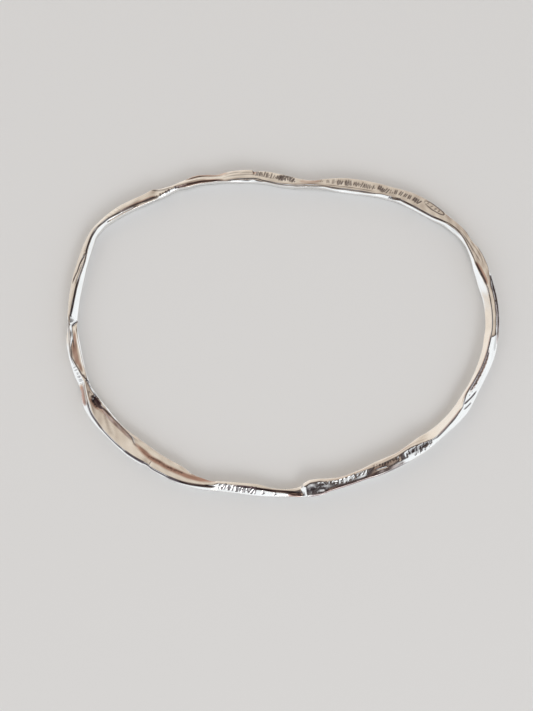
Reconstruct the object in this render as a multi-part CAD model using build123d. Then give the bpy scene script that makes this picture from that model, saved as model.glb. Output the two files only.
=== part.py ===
from build123d import *

import math
import os
from bisect import bisect_right
from collections import namedtuple

# A closed oval bangle, worked from one silver bar, in millimetres.
# It lies flat: +X along its length, +Y along its width, +Z up from the surface under it.
# A section's turn is its bearing in degrees round the loop, seen from above: 0 at the left-hand end,
# 90 at the far side (+Y), 180 at the right-hand end and 270 at the near side.

# Driving sizes
LOOP_LENGTH = 74.0
LOOP_WIDTH = 56.0
BREADTH = 3.5
HEIGHT = 2.4
STATIONS = 288

# How far the underside is drawn in from the widest part of the band on each side, as a share of its breadth there
FOOT_INSET = 0.2

# Lift below which a section's underside counts as resting on the surface
FLAT_ENOUGH = 1e-6

FULL_TURN = 360.0

Bend = namedtuple("Bend", "turn reach")
Lift = namedtuple("Lift", "turn lift")
LINES = ("inner", "brow", "fold", "ridge", "rim", "outer")
Section = namedtuple("Section", ("turn",) + LINES + tuple(name + "_z" for name in LINES))

# Course of the band's middle: its reach from the centre, as a share of the plain oval's
BENDS = [
    Bend(*row)
    for row in (
        (0, 1.006),
        (10, 1.027),
        (20, 1.071),
        (29, 1.112),
        (35, 1.119),
        (45, 1.102),
        (55, 1.089),
        (65, 1.074),
        (75, 1.049),
        (85, 1.020),
        (96, 0.993),
        (106, 1.001),
        (116, 1.022),
        (126, 1.048),
        (135, 1.065),
        (145, 1.069),
        (152, 1.064),
        (161, 1.039),
        (170, 1.011),
        (180, 0.993),
        (190, 0.983),
        (197, 0.979),
        (210, 0.985),
        (221, 0.990),
        (235, 1.000),
        (250, 1.017),
        (261, 1.034),
        (270, 1.046),
        (281, 1.043),
        (290, 1.051),
        (298, 1.061),
        (306, 1.054),
        (316, 1.042),
        (330, 1.028),
        (345, 1.006),
        (352, 1.001),
    )
]

# Underside: how far it arches off the surface, as a share of the height
LIFTS = [
    Lift(*row)
    for row in (
        (0, 0.08),
        (8, 0.00),
        (38, 0.00),
        (50, 0.14),
        (60, 0.10),
        (70, 0.00),
        (92, 0.00),
        (100, 0.20),
        (110, 0.00),
        (142, 0.00),
        (154, 0.16),
        (166, 0.06),
        (180, 0.00),
        (215, 0.00),
        (221, 0.05),
        (228, 0.00),
        (258, 0.00),
        (268, 0.14),
        (280, 0.10),
        (294, 0.10),
        (302, 0.00),
        (334, 0.00),
        (345, 0.18),
        (354, 0.12),
    )
]

# Sections of the band, one table for each stretch of it. Six lines run along it: its inner edge, the brow and
# the fold over the inner bevel, the ridge between its upper faces, the rim over the outer wall and its outer edge.
# Their places are shares of half the breadth, outward from the middle, and their levels are shares of the height.

# Left-hand side: a bevel towards the hand, which a pinch narrows, under a broad outer face
LEFT_SIDE = [
    Section(*row)
    for row in (
        (0.4, -0.56, -0.30, -0.26, 0.24, 0.38, 0.50, 0.70, 0.76, 0.78, 0.95, 0.94, 0.66),
        (1.1, -0.56, -0.48, -0.42, 0.26, 0.40, 0.51, 0.66, 0.69, 0.72, 0.965, 0.94, 0.65),
        (2.8, -0.57, 0.06, 0.20, 0.34, 0.46, 0.53, 0.64, 0.94, 0.965, 0.97, 0.94, 0.62),
        (5, -0.63, -0.08, 0.08, 0.30, 0.44, 0.52, 0.66, 0.94, 0.965, 0.975, 0.94, 0.60),
        (10, -0.70, -0.21, -0.06, 0.20, 0.46, 0.57, 0.68, 0.94, 0.965, 0.98, 0.94, 0.60),
        (14, -0.73, -0.32, -0.17, 0.12, 0.44, 0.55, 0.72, 0.94, 0.965, 0.98, 0.94, 0.60),
        (18, -0.72, -0.43, -0.29, 0.06, 0.38, 0.50, 0.77, 0.93, 0.955, 0.98, 0.94, 0.60),
        (20.5, -0.65, -0.32, -0.17, 0.10, 0.40, 0.52, 0.76, 0.94, 0.965, 0.98, 0.94, 0.60),
        (24, -0.53, -0.12, 0.03, 0.22, 0.44, 0.58, 0.74, 0.95, 0.98, 0.98, 0.94, 0.60),
        (27, -0.38, -0.05, 0.11, 0.28, 0.44, 0.57, 0.77, 0.95, 0.975, 0.98, 0.94, 0.60),
        (30, -0.38, -0.07, 0.04, 0.20, 0.36, 0.48, 0.80, 0.95, 0.97, 0.98, 0.94, 0.60),
        (33, -0.55, -0.34, -0.22, 0.06, 0.32, 0.42, 0.86, 0.87, 0.955, 0.975, 0.95, 0.60),
        (36, -0.70, -0.52, -0.40, -0.04, 0.28, 0.37, 0.87, 0.88, 0.94, 0.975, 0.95, 0.60),
        (40, -0.77, -0.64, -0.52, -0.08, 0.22, 0.33, 0.87, 0.88, 0.93, 0.97, 0.955, 0.58),
        (43, -0.80, -0.68, -0.56, -0.10, 0.20, 0.30, 0.87, 0.88, 0.90, 0.945, 0.96, 0.56),
    )
]

# Knuckle, where the broad face ends in a step and the band goes on slim
KNUCKLE = [
    Section(*row)
    for row in (
        (45.5, -0.84, -0.72, -0.60, -0.10, 0.24, 0.36, 0.88, 0.89, 0.91, 0.955, 0.99, 0.54),
        (46.6, -0.84, -0.74, -0.62, -0.08, 0.26, 0.38, 0.88, 0.89, 0.91, 0.96, 1.00, 0.54),
        (48.4, -0.86, -0.62, -0.44, -0.10, 0.12, 0.27, 0.80, 0.93, 0.95, 0.95, 0.91, 0.54),
        (50, -0.80, -0.58, -0.44, -0.16, 0.04, 0.18, 0.80, 0.93, 0.95, 0.955, 0.91, 0.52),
        (52, -0.68, -0.46, -0.36, -0.16, 0.00, 0.12, 0.80, 0.93, 0.95, 0.96, 0.91, 0.50),
        (54.5, -0.54, -0.46, -0.30, -0.10, 0.06, 0.19, 0.86, 0.87, 0.92, 0.95, 0.92, 0.50),
        (57.5, -0.70, -0.58, -0.36, -0.14, 0.16, 0.34, 0.88, 0.885, 0.925, 0.96, 0.93, 0.50),
        (60.5, -0.66, -0.58, -0.36, -0.08, 0.30, 0.53, 0.87, 0.875, 0.915, 0.96, 0.94, 0.50),
        (64, -0.70, -0.66, -0.50, -0.30, 0.18, 0.32, 0.88, 0.885, 0.92, 0.935, 0.87, 0.50),
        (67, -0.72, -0.68, -0.56, -0.42, 0.02, 0.17, 0.88, 0.885, 0.91, 0.925, 0.86, 0.50),
    )
]

# Far leaf: two lobes on the outer side of a low ridge, with a nick between them
FAR_LEAF = [
    Section(*row)
    for row in (
        (70, -0.82, -0.72, -0.66, -0.52, 0.20, 0.33, 0.88, 0.90, 0.915, 0.935, 0.90, 0.50),
        (73, -0.90, -0.72, -0.62, -0.44, 0.32, 0.46, 0.82, 0.90, 0.925, 0.945, 0.95, 0.52),
        (77, -0.93, -0.64, -0.54, -0.32, 0.40, 0.55, 0.80, 0.905, 0.93, 0.95, 0.955, 0.52),
        (78.9, -0.90, -0.64, -0.52, -0.32, 0.40, 0.54, 0.81, 0.905, 0.93, 0.95, 0.955, 0.52),
        (79.8, -0.87, -0.64, -0.52, -0.32, 0.20, 0.38, 0.82, 0.905, 0.93, 0.95, 0.90, 0.52),
        (81.2, -0.89, -0.70, -0.58, -0.36, 0.34, 0.48, 0.84, 0.905, 0.93, 0.95, 0.95, 0.52),
        (84, -0.93, -0.82, -0.70, -0.46, 0.34, 0.46, 0.85, 0.90, 0.93, 0.955, 0.95, 0.52),
        (88.5, -1.00, -0.92, -0.80, -0.60, 0.24, 0.35, 0.85, 0.89, 0.92, 0.95, 0.95, 0.54),
        (93, -0.97, -0.90, -0.80, -0.66, 0.16, 0.27, 0.85, 0.89, 0.915, 0.95, 0.95, 0.56),
    )
]

# Far waist, slim and tall
FAR_WAIST = [
    Section(*row)
    for row in (
        (96, -0.89, -0.80, -0.70, -0.46, 0.02, 0.11, 0.87, 0.90, 0.925, 0.96, 0.95, 0.58),
        (101, -0.80, -0.72, -0.60, -0.40, -0.10, -0.02, 0.87, 0.90, 0.925, 0.965, 0.96, 0.58),
    )
]

# Far panel: a long level face with a bevel towards the hand
FAR_PANEL = [
    Section(*row)
    for row in (
        (105.5, -0.84, -0.72, -0.60, -0.40, 0.18, 0.30, 0.83, 0.89, 0.915, 0.93, 0.94, 0.56),
        (110, -1.04, -0.82, -0.70, -0.44, 0.38, 0.50, 0.79, 0.885, 0.912, 0.928, 0.94, 0.58),
        (115, -1.12, -0.84, -0.72, -0.46, 0.48, 0.61, 0.765, 0.885, 0.913, 0.93, 0.94, 0.58),
        (120, -1.06, -0.86, -0.74, -0.48, 0.46, 0.60, 0.79, 0.885, 0.913, 0.93, 0.94, 0.58),
        (123, -1.00, -0.78, -0.68, -0.48, 0.42, 0.54, 0.79, 0.895, 0.918, 0.93, 0.94, 0.58),
        (126, -0.95, -0.68, -0.60, -0.44, 0.40, 0.51, 0.77, 0.90, 0.92, 0.93, 0.94, 0.58),
        (127.8, -0.94, -0.68, -0.60, -0.44, 0.40, 0.50, 0.77, 0.90, 0.92, 0.93, 0.94, 0.58),
        (129.2, -0.93, -0.82, -0.62, -0.40, 0.42, 0.52, 0.82, 0.865, 0.91, 0.93, 0.94, 0.58),
        (131, -0.94, -0.74, -0.60, -0.20, 0.46, 0.57, 0.79, 0.885, 0.925, 0.94, 0.94, 0.58),
        (134, -1.04, -0.82, -0.68, -0.16, 0.54, 0.66, 0.765, 0.875, 0.915, 0.94, 0.94, 0.58),
        (138, -1.06, -0.83, -0.69, -0.12, 0.56, 0.68, 0.75, 0.87, 0.91, 0.945, 0.94, 0.58),
        (142.3, -0.98, -0.76, -0.62, -0.04, 0.47, 0.58, 0.76, 0.875, 0.915, 0.95, 0.94, 0.58),
    )
]

# Right shoulder, where the bevel widens into a face and the outer side splits in two
RIGHT_SHOULDER = [
    Section(*row)
    for row in (
        (146.5, -0.70, -0.44, -0.30, 0.02, 0.38, 0.49, 0.78, 0.92, 0.96, 0.97, 0.94, 0.56),
        (149.3, -0.64, -0.30, -0.16, 0.06, 0.42, 0.54, 0.76, 0.93, 0.96, 0.965, 0.96, 0.56),
        (151.5, -0.56, -0.23, -0.10, 0.10, 0.42, 0.54, 0.77, 0.93, 0.955, 0.96, 0.968, 0.56),
        (155, -0.58, -0.39, -0.27, -0.02, 0.30, 0.43, 0.84, 0.935, 0.955, 0.955, 0.968, 0.56),
        (158, -0.69, -0.48, -0.36, 0.00, 0.50, 0.65, 0.82, 0.92, 0.945, 0.955, 0.975, 0.56),
        (160.8, -0.84, -0.56, -0.44, 0.02, 0.56, 0.69, 0.78, 0.915, 0.935, 0.95, 0.97, 0.56),
        (163.7, -0.98, -0.54, -0.38, 0.10, 0.56, 0.70, 0.72, 0.92, 0.90, 0.95, 0.968, 0.66),
        (166.6, -0.98, -0.36, -0.20, 0.12, 0.36, 0.64, 0.69, 0.945, 0.922, 0.952, 0.95, 0.91),
        (169, -0.93, -0.20, -0.06, 0.18, 0.30, 0.64, 0.68, 0.945, 0.926, 0.950, 0.945, 0.905),
    )
]

# Right-hand side: a level inner face and, past the corner, an outer face that falls away
RIGHT_SIDE = [
    Section(*row)
    for row in (
        (172.5, -0.82, -0.10, 0.02, 0.26, 0.34, 0.68, 0.72, 0.938, 0.922, 0.946, 0.940, 0.903),
        (178, -0.75, -0.10, 0.02, 0.26, 0.34, 0.69, 0.76, 0.938, 0.922, 0.946, 0.940, 0.900),
        (181, -0.74, -0.08, 0.04, 0.28, 0.40, 0.66, 0.78, 0.945, 0.930, 0.947, 0.932, 0.898),
        (182.7, -0.77, -0.14, -0.02, 0.24, 0.42, 0.68, 0.78, 0.950, 0.932, 0.946, 0.926, 0.885),
        (184, -0.79, -0.20, -0.08, 0.16, 0.44, 0.70, 0.78, 0.96, 0.94, 0.87, 0.78, 0.64),
        (186.6, -0.76, -0.26, -0.14, 0.14, 0.46, 0.76, 0.78, 0.965, 0.94, 0.86, 0.75, 0.60),
        (190, -0.76, -0.26, 0.04, 0.22, 0.42, 0.70, 0.80, 0.965, 0.92, 0.86, 0.79, 0.64),
        (195, -0.73, -0.34, 0.02, 0.18, 0.38, 0.60, 0.82, 0.965, 0.905, 0.85, 0.78, 0.66),
        (198.5, -0.72, -0.42, -0.02, 0.14, 0.36, 0.60, 0.83, 0.96, 0.895, 0.84, 0.765, 0.63),
        (202, -0.76, -0.42, -0.28, 0.05, 0.42, 0.70, 0.82, 0.965, 0.94, 0.85, 0.74, 0.60),
        (204, -0.74, -0.24, -0.12, 0.14, 0.50, 0.78, 0.80, 0.985, 0.96, 0.89, 0.79, 0.64),
        (206, -0.70, 0.02, 0.12, 0.30, 0.56, 0.80, 0.76, 1.00, 0.98, 0.93, 0.84, 0.70),
        (210, -0.67, 0.04, 0.18, 0.40, 0.58, 0.74, 0.72, 0.995, 0.97, 0.90, 0.84, 0.76),
        (214, -0.66, 0.12, 0.26, 0.44, 0.56, 0.70, 0.72, 0.99, 0.965, 0.91, 0.865, 0.79),
        (217.5, -0.70, 0.20, 0.36, 0.48, 0.58, 0.72, 0.74, 0.99, 0.96, 0.92, 0.88, 0.80),
    )
]

# Near panel, which slopes outward and ends in a step down to the near waist
NEAR_PANEL = [
    Section(*row)
    for row in (
        (222, -0.80, -0.14, 0.00, 0.60, 0.76, 0.84, 0.90, 0.98, 0.965, 0.856, 0.800, 0.70),
        (226, -0.72, -0.36, -0.24, 0.52, 0.72, 0.80, 0.93, 0.985, 0.97, 0.832, 0.765, 0.68),
        (230, -0.62, -0.30, -0.18, 0.34, 0.70, 0.77, 0.94, 0.985, 0.975, 0.942, 0.875, 0.79),
        (237, -0.70, -0.28, -0.16, 0.30, 0.68, 0.75, 0.93, 0.985, 0.975, 0.946, 0.878, 0.78),
        (243, -0.54, -0.28, -0.16, 0.30, 0.52, 0.59, 0.95, 0.985, 0.97, 0.867, 0.839, 0.76),
        (250, -0.42, -0.22, -0.12, 0.30, 0.56, 0.63, 0.95, 0.985, 0.97, 0.876, 0.838, 0.76),
        (255, -0.62, -0.30, -0.18, 0.34, 0.61, 0.68, 0.93, 0.985, 0.97, 0.854, 0.815, 0.74),
        (258, -0.80, -0.54, -0.42, 0.06, 0.74, 0.81, 0.92, 0.985, 0.97, 0.863, 0.724, 0.65),
        (260.8, -0.84, -0.54, -0.42, 0.06, 0.75, 0.82, 0.92, 0.985, 0.97, 0.863, 0.724, 0.64),
    )
]

# Near waist, low and slim
NEAR_WAIST = [
    Section(*row)
    for row in (
        (262.6, -0.70, -0.36, -0.24, 0.10, 0.69, 0.77, 0.90, 0.965, 0.945, 0.872, 0.76, 0.67),
        (263.3, -0.62, -0.30, -0.18, 0.12, 0.64, 0.72, 0.88, 0.95, 0.93, 0.80, 0.69, 0.62),
        (264.5, -0.42, -0.12, -0.02, 0.16, 0.62, 0.66, 0.68, 0.73, 0.72, 0.70, 0.65, 0.61),
        (266.5, -0.30, -0.04, 0.06, 0.28, 0.52, 0.56, 0.71, 0.745, 0.74, 0.715, 0.68, 0.62),
        (269, -0.26, 0.00, 0.10, 0.26, 0.42, 0.50, 0.745, 0.78, 0.77, 0.74, 0.685, 0.62),
        (274, -0.32, -0.06, 0.04, 0.12, 0.44, 0.54, 0.79, 0.83, 0.815, 0.795, 0.685, 0.61),
    )
]

# Near leaf, a short panel that runs out to a point
NEAR_LEAF = [
    Section(*row)
    for row in (
        (279.5, -0.58, -0.18, -0.12, -0.04, 0.50, 0.60, 0.82, 0.90, 0.885, 0.86, 0.68, 0.60),
        (286, -0.55, -0.24, -0.18, -0.10, 0.44, 0.54, 0.85, 0.92, 0.91, 0.885, 0.70, 0.62),
        (291.5, -0.44, -0.22, -0.14, -0.06, 0.44, 0.55, 0.87, 0.93, 0.92, 0.90, 0.73, 0.65),
    )
]

# Broad leaf: a long hollow face between a raised outer rim and a low inner lip
BROAD_LEAF = [
    Section(*row)
    for row in (
        (294, -0.32, -0.14, 0.10, 0.28, 0.38, 0.62, 0.84, 0.91, 0.915, 0.885, 0.87, 0.76),
        (297, -0.44, -0.20, 0.04, 0.36, 0.50, 0.70, 0.84, 0.885, 0.87, 0.90, 0.86, 0.75),
        (300, -0.50, -0.28, 0.00, 0.54, 0.66, 0.79, 0.82, 0.865, 0.86, 0.89, 0.855, 0.76),
        (303, -0.76, -0.44, -0.04, 0.62, 0.75, 0.91, 0.80, 0.86, 0.855, 0.885, 0.845, 0.74),
        (306, -0.88, -0.62, -0.04, 0.64, 0.78, 0.94, 0.78, 0.855, 0.85, 0.88, 0.84, 0.73),
        (309.5, -0.90, -0.68, -0.06, 0.66, 0.80, 0.98, 0.78, 0.855, 0.85, 0.88, 0.835, 0.72),
        (312.4, -0.92, -0.70, -0.06, 0.70, 0.84, 0.97, 0.78, 0.855, 0.85, 0.88, 0.835, 0.74),
        (313.6, -0.94, -0.72, -0.06, 0.62, 0.74, 0.90, 0.78, 0.855, 0.845, 0.86, 0.82, 0.73),
        (316, -0.98, -0.76, -0.16, 0.70, 0.84, 1.08, 0.78, 0.85, 0.83, 0.88, 0.84, 0.70),
        (320, -0.99, -0.78, -0.26, 0.79, 0.93, 1.15, 0.78, 0.84, 0.79, 0.87, 0.83, 0.71),
        (323, -0.94, -0.72, -0.30, 0.80, 0.93, 1.12, 0.73, 0.83, 0.755, 0.86, 0.82, 0.72),
        (326, -0.88, -0.66, -0.30, 0.78, 0.91, 1.07, 0.72, 0.82, 0.75, 0.86, 0.82, 0.72),
        (330, -0.90, -0.60, -0.24, 0.78, 0.92, 1.11, 0.69, 0.82, 0.75, 0.86, 0.825, 0.70),
        (333, -0.90, -0.54, -0.20, 0.72, 0.88, 1.16, 0.67, 0.82, 0.77, 0.87, 0.83, 0.67),
        (336, -0.80, -0.44, -0.10, 0.52, 0.68, 1.16, 0.67, 0.815, 0.80, 0.87, 0.85, 0.66),
        (339, -0.66, -0.36, -0.14, 0.26, 0.44, 0.99, 0.70, 0.82, 0.84, 0.885, 0.87, 0.78),
        (341.5, -0.55, -0.34, -0.16, 0.04, 0.22, 0.64, 0.72, 0.83, 0.865, 0.895, 0.88, 0.80),
    )
]

# Crossing, where the ridge runs over to the inner side, and the small hollow face after it
CROSSING = [
    Section(*row)
    for row in (
        (344, -0.58, -0.44, -0.32, -0.20, -0.04, 0.62, 0.72, 0.83, 0.86, 0.872, 0.89, 0.60),
        (346.5, -0.62, -0.50, -0.36, -0.12, 0.06, 0.70, 0.72, 0.82, 0.80, 0.84, 0.89, 0.60),
        (349.4, -0.67, -0.52, -0.40, 0.14, 0.29, 0.74, 0.72, 0.82, 0.78, 0.85, 0.90, 0.68),
        (351.8, -0.69, -0.52, -0.40, 0.34, 0.50, 0.77, 0.72, 0.82, 0.78, 0.865, 0.91, 0.74),
        (354, -0.69, -0.52, -0.38, 0.28, 0.40, 0.76, 0.72, 0.82, 0.775, 0.855, 0.90, 0.74),
        (356.5, -0.65, -0.48, -0.30, 0.02, 0.25, 0.70, 0.73, 0.82, 0.79, 0.82, 0.91, 0.74),
        (358.8, -0.59, -0.38, -0.16, 0.00, 0.26, 0.56, 0.76, 0.82, 0.80, 0.82, 0.92, 0.72),
        (359.8, -0.56, -0.20, -0.10, 0.00, 0.27, 0.53, 0.76, 0.79, 0.80, 0.83, 0.94, 0.70),
    )
]

SECTIONS = (
    LEFT_SIDE + KNUCKLE + FAR_LEAF + FAR_WAIST + FAR_PANEL + RIGHT_SHOULDER
    + RIGHT_SIDE + NEAR_PANEL + NEAR_WAIST + NEAR_LEAF + BROAD_LEAF + CROSSING
)


def around(table, column):
    """The smooth closed curve through one column of a table, as a function of the turn."""
    turns = [row.turn for row in table]
    values = [getattr(row, column) for row in table]
    count = len(table)
    gaps = [(turns[(i + 1) % count] - turns[i]) % FULL_TURN for i in range(count)]
    slopes = [(values[(i + 1) % count] - values[i]) / gaps[i] for i in range(count)]
    tangents = []
    for i in range(count):
        before, after = slopes[i - 1], slopes[i]
        if before * after <= 0:
            # A high or low point of the column stays one, with no overshoot beside it.
            tangents.append(0.0)
            continue
        near = gaps[i - 1] + 2 * gaps[i]
        far = gaps[i] + 2 * gaps[i - 1]
        tangents.append((near + far) / (near / before + far / after))

    def value(turn):
        i = bisect_right(turns, turn % FULL_TURN) - 1
        gap = gaps[i]
        t = ((turn - turns[i]) % FULL_TURN) / gap
        rise = values[(i + 1) % count] - values[i]
        start = t * (1 - t) ** 2 * gap * tangents[i]
        end = t * t * (t - 1) * gap * tangents[(i + 1) % count]
        return values[i] + t * t * (3 - 2 * t) * rise + start + end

    return value


def middle(turn):
    """Where the band's middle lies in plan."""
    angle = math.radians(FULL_TURN / 2 - turn)
    east, north = math.cos(angle), math.sin(angle)
    plain = 1 / math.hypot(east / (LOOP_LENGTH / 2), north / (LOOP_WIDTH / 2))
    return plain * reach(turn) * east, plain * reach(turn) * north


def outward(turn):
    """The level direction square to the band, away from the hand."""
    (x0, y0), (x1, y1) = middle(turn - 1), middle(turn + 1)
    length = math.hypot(x1 - x0, y1 - y0)
    return (y0 - y1) / length, (x1 - x0) / length


def section(turn):
    """The band's section as points of offset and level: over the top from the inner foot to the outer foot."""
    half = BREADTH / 2
    top = [(half * line[name](turn), HEIGHT * line[name + "_z"](turn)) for name in LINES]
    inner, outer = top[0][0], top[-1][0]
    inset = FOOT_INSET * (outer - inner)
    foot = HEIGHT * lift(turn)
    return [(inner + inset, foot)] + top + [(outer - inset, foot)]


def ring(turn):
    """The section's points set in place on the loop."""
    x, y = middle(turn)
    east, north = outward(turn)
    return [(x + east * offset, y + north * offset, level) for offset, level in section(turn)]


def flat(corners):
    """A flat face through the given corners."""
    return Face(Wire.make_polygon(corners, close=True))


def wall(before, after):
    """The strip of triangles between two neighbouring rings, without the underside."""
    faces = []
    for i in range(len(before) - 1):
        faces.append(flat([before[i], after[i], after[i + 1]]))
        faces.append(flat([before[i], after[i + 1], before[i + 1]]))
    return faces


def underside(rings):
    """One flat face under each stretch that rests on the surface, and triangles under each arch."""
    rests = [max(r[0][2], r[-1][2]) < FLAT_ENOUGH for r in rings]
    count = len(rings)
    first = next(i for i in range(count) if rests[i] and not rests[i - 1])
    faces, foot = [], []
    for step in range(count + 1):
        here = (first + step) % count
        if step < count and rests[here]:
            foot.append(rings[here])
            if rests[(here + 1) % count]:
                continue
        if len(foot) > 1:
            faces.append(flat([r[0] for r in foot] + [r[-1] for r in reversed(foot)]))
        foot = []
        if step < count:
            before, after = rings[here], rings[(here + 1) % count]
            faces.append(flat([before[0], before[-1], after[-1]]))
            faces.append(flat([before[0], after[-1], after[0]]))
    return faces


reach = around(BENDS, "reach")
line = {column: around(SECTIONS, column) for column in Section._fields[1:]}
lift = around(LIFTS, "lift")

loop = [ring(FULL_TURN * i / STATIONS) for i in range(STATIONS)]

# The origin is under the middle of the whole bangle.
across = [point[0] for r in loop for point in r]
along = [point[1] for r in loop for point in r]
centre_x = (min(across) + max(across)) / 2
centre_y = (min(along) + max(along)) / 2
loop = [[(x - centre_x, y - centre_y, z) for x, y, z in r] for r in loop]

walls = [face for i in range(STATIONS) for face in wall(loop[i - 1], loop[i])]
bangle = Solid(Shell(walls + underside(loop)))

os.makedirs("parts", exist_ok=True)
export_step(bangle, "parts/bangle.step")
print("bangle", bangle.bounding_box().size, "volume", round(bangle.volume, 1), "valid", bangle.is_valid)
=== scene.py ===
"""A closed silver bangle, hammered and folded along its length, that lies on a pale table.

Lengths are in metres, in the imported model's frame. A turn is a bearing in degrees round the loop, seen from
above: 0 at the left-hand end, 90 at the far side (+Y), 180 at the right-hand end, 270 at the near side.
"""

import math

import bpy
import numpy as np
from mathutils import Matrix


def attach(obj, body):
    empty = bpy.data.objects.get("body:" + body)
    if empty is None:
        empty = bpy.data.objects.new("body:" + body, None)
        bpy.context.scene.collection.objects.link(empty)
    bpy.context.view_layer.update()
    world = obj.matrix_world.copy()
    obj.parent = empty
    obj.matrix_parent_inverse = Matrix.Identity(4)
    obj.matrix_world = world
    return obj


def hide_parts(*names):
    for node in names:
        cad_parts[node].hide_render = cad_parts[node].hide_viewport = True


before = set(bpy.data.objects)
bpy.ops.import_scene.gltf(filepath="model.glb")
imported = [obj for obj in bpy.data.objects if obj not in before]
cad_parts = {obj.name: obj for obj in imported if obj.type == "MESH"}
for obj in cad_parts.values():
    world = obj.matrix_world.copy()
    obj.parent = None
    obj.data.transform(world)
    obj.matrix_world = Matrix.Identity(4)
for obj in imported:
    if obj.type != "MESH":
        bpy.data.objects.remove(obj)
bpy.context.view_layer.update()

# The band: one bar of sterling silver, bent to a closed oval and soldered end to end.
# It was hammered, pinched and folded along its length, so that its section changes all the way round,
# and then filed and polished until every corner was soft.
LOOP_LENGTH = 0.074
LOOP_WIDTH = 0.056
BREADTH = 0.0035
HEIGHT = 0.0024
FOOT_INSET = 0.2

# Course of the band's middle: turn, and its reach from the centre as a share of the plain oval's
BENDS = [
    (0, 1.006), (10, 1.027), (20, 1.071), (29, 1.112), (35, 1.119), (45, 1.102), (55, 1.089), (65, 1.074),
    (75, 1.049), (85, 1.02), (96, 0.993), (106, 1.001), (116, 1.022), (126, 1.048), (135, 1.065),
    (145, 1.069), (152, 1.064), (161, 1.039), (170, 1.011), (180, 0.993), (190, 0.983), (197, 0.979),
    (210, 0.985), (221, 0.99), (235, 1), (250, 1.017), (261, 1.034), (270, 1.046), (281, 1.043),
    (290, 1.051), (298, 1.061), (306, 1.054), (316, 1.042), (330, 1.028), (345, 1.006), (352, 1.001),
]

# Underside: turn, and how far it arches off the table as a share of the height
LIFTS = [
    (0, 0.08), (8, 0), (38, 0), (50, 0.14), (60, 0.1), (70, 0), (92, 0), (100, 0.2), (110, 0), (142, 0),
    (154, 0.16), (166, 0.06), (180, 0), (215, 0), (221, 0.05), (228, 0), (258, 0), (268, 0.14), (280, 0.1),
    (294, 0.1), (302, 0), (334, 0), (345, 0.18), (354, 0.12),
]

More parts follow.
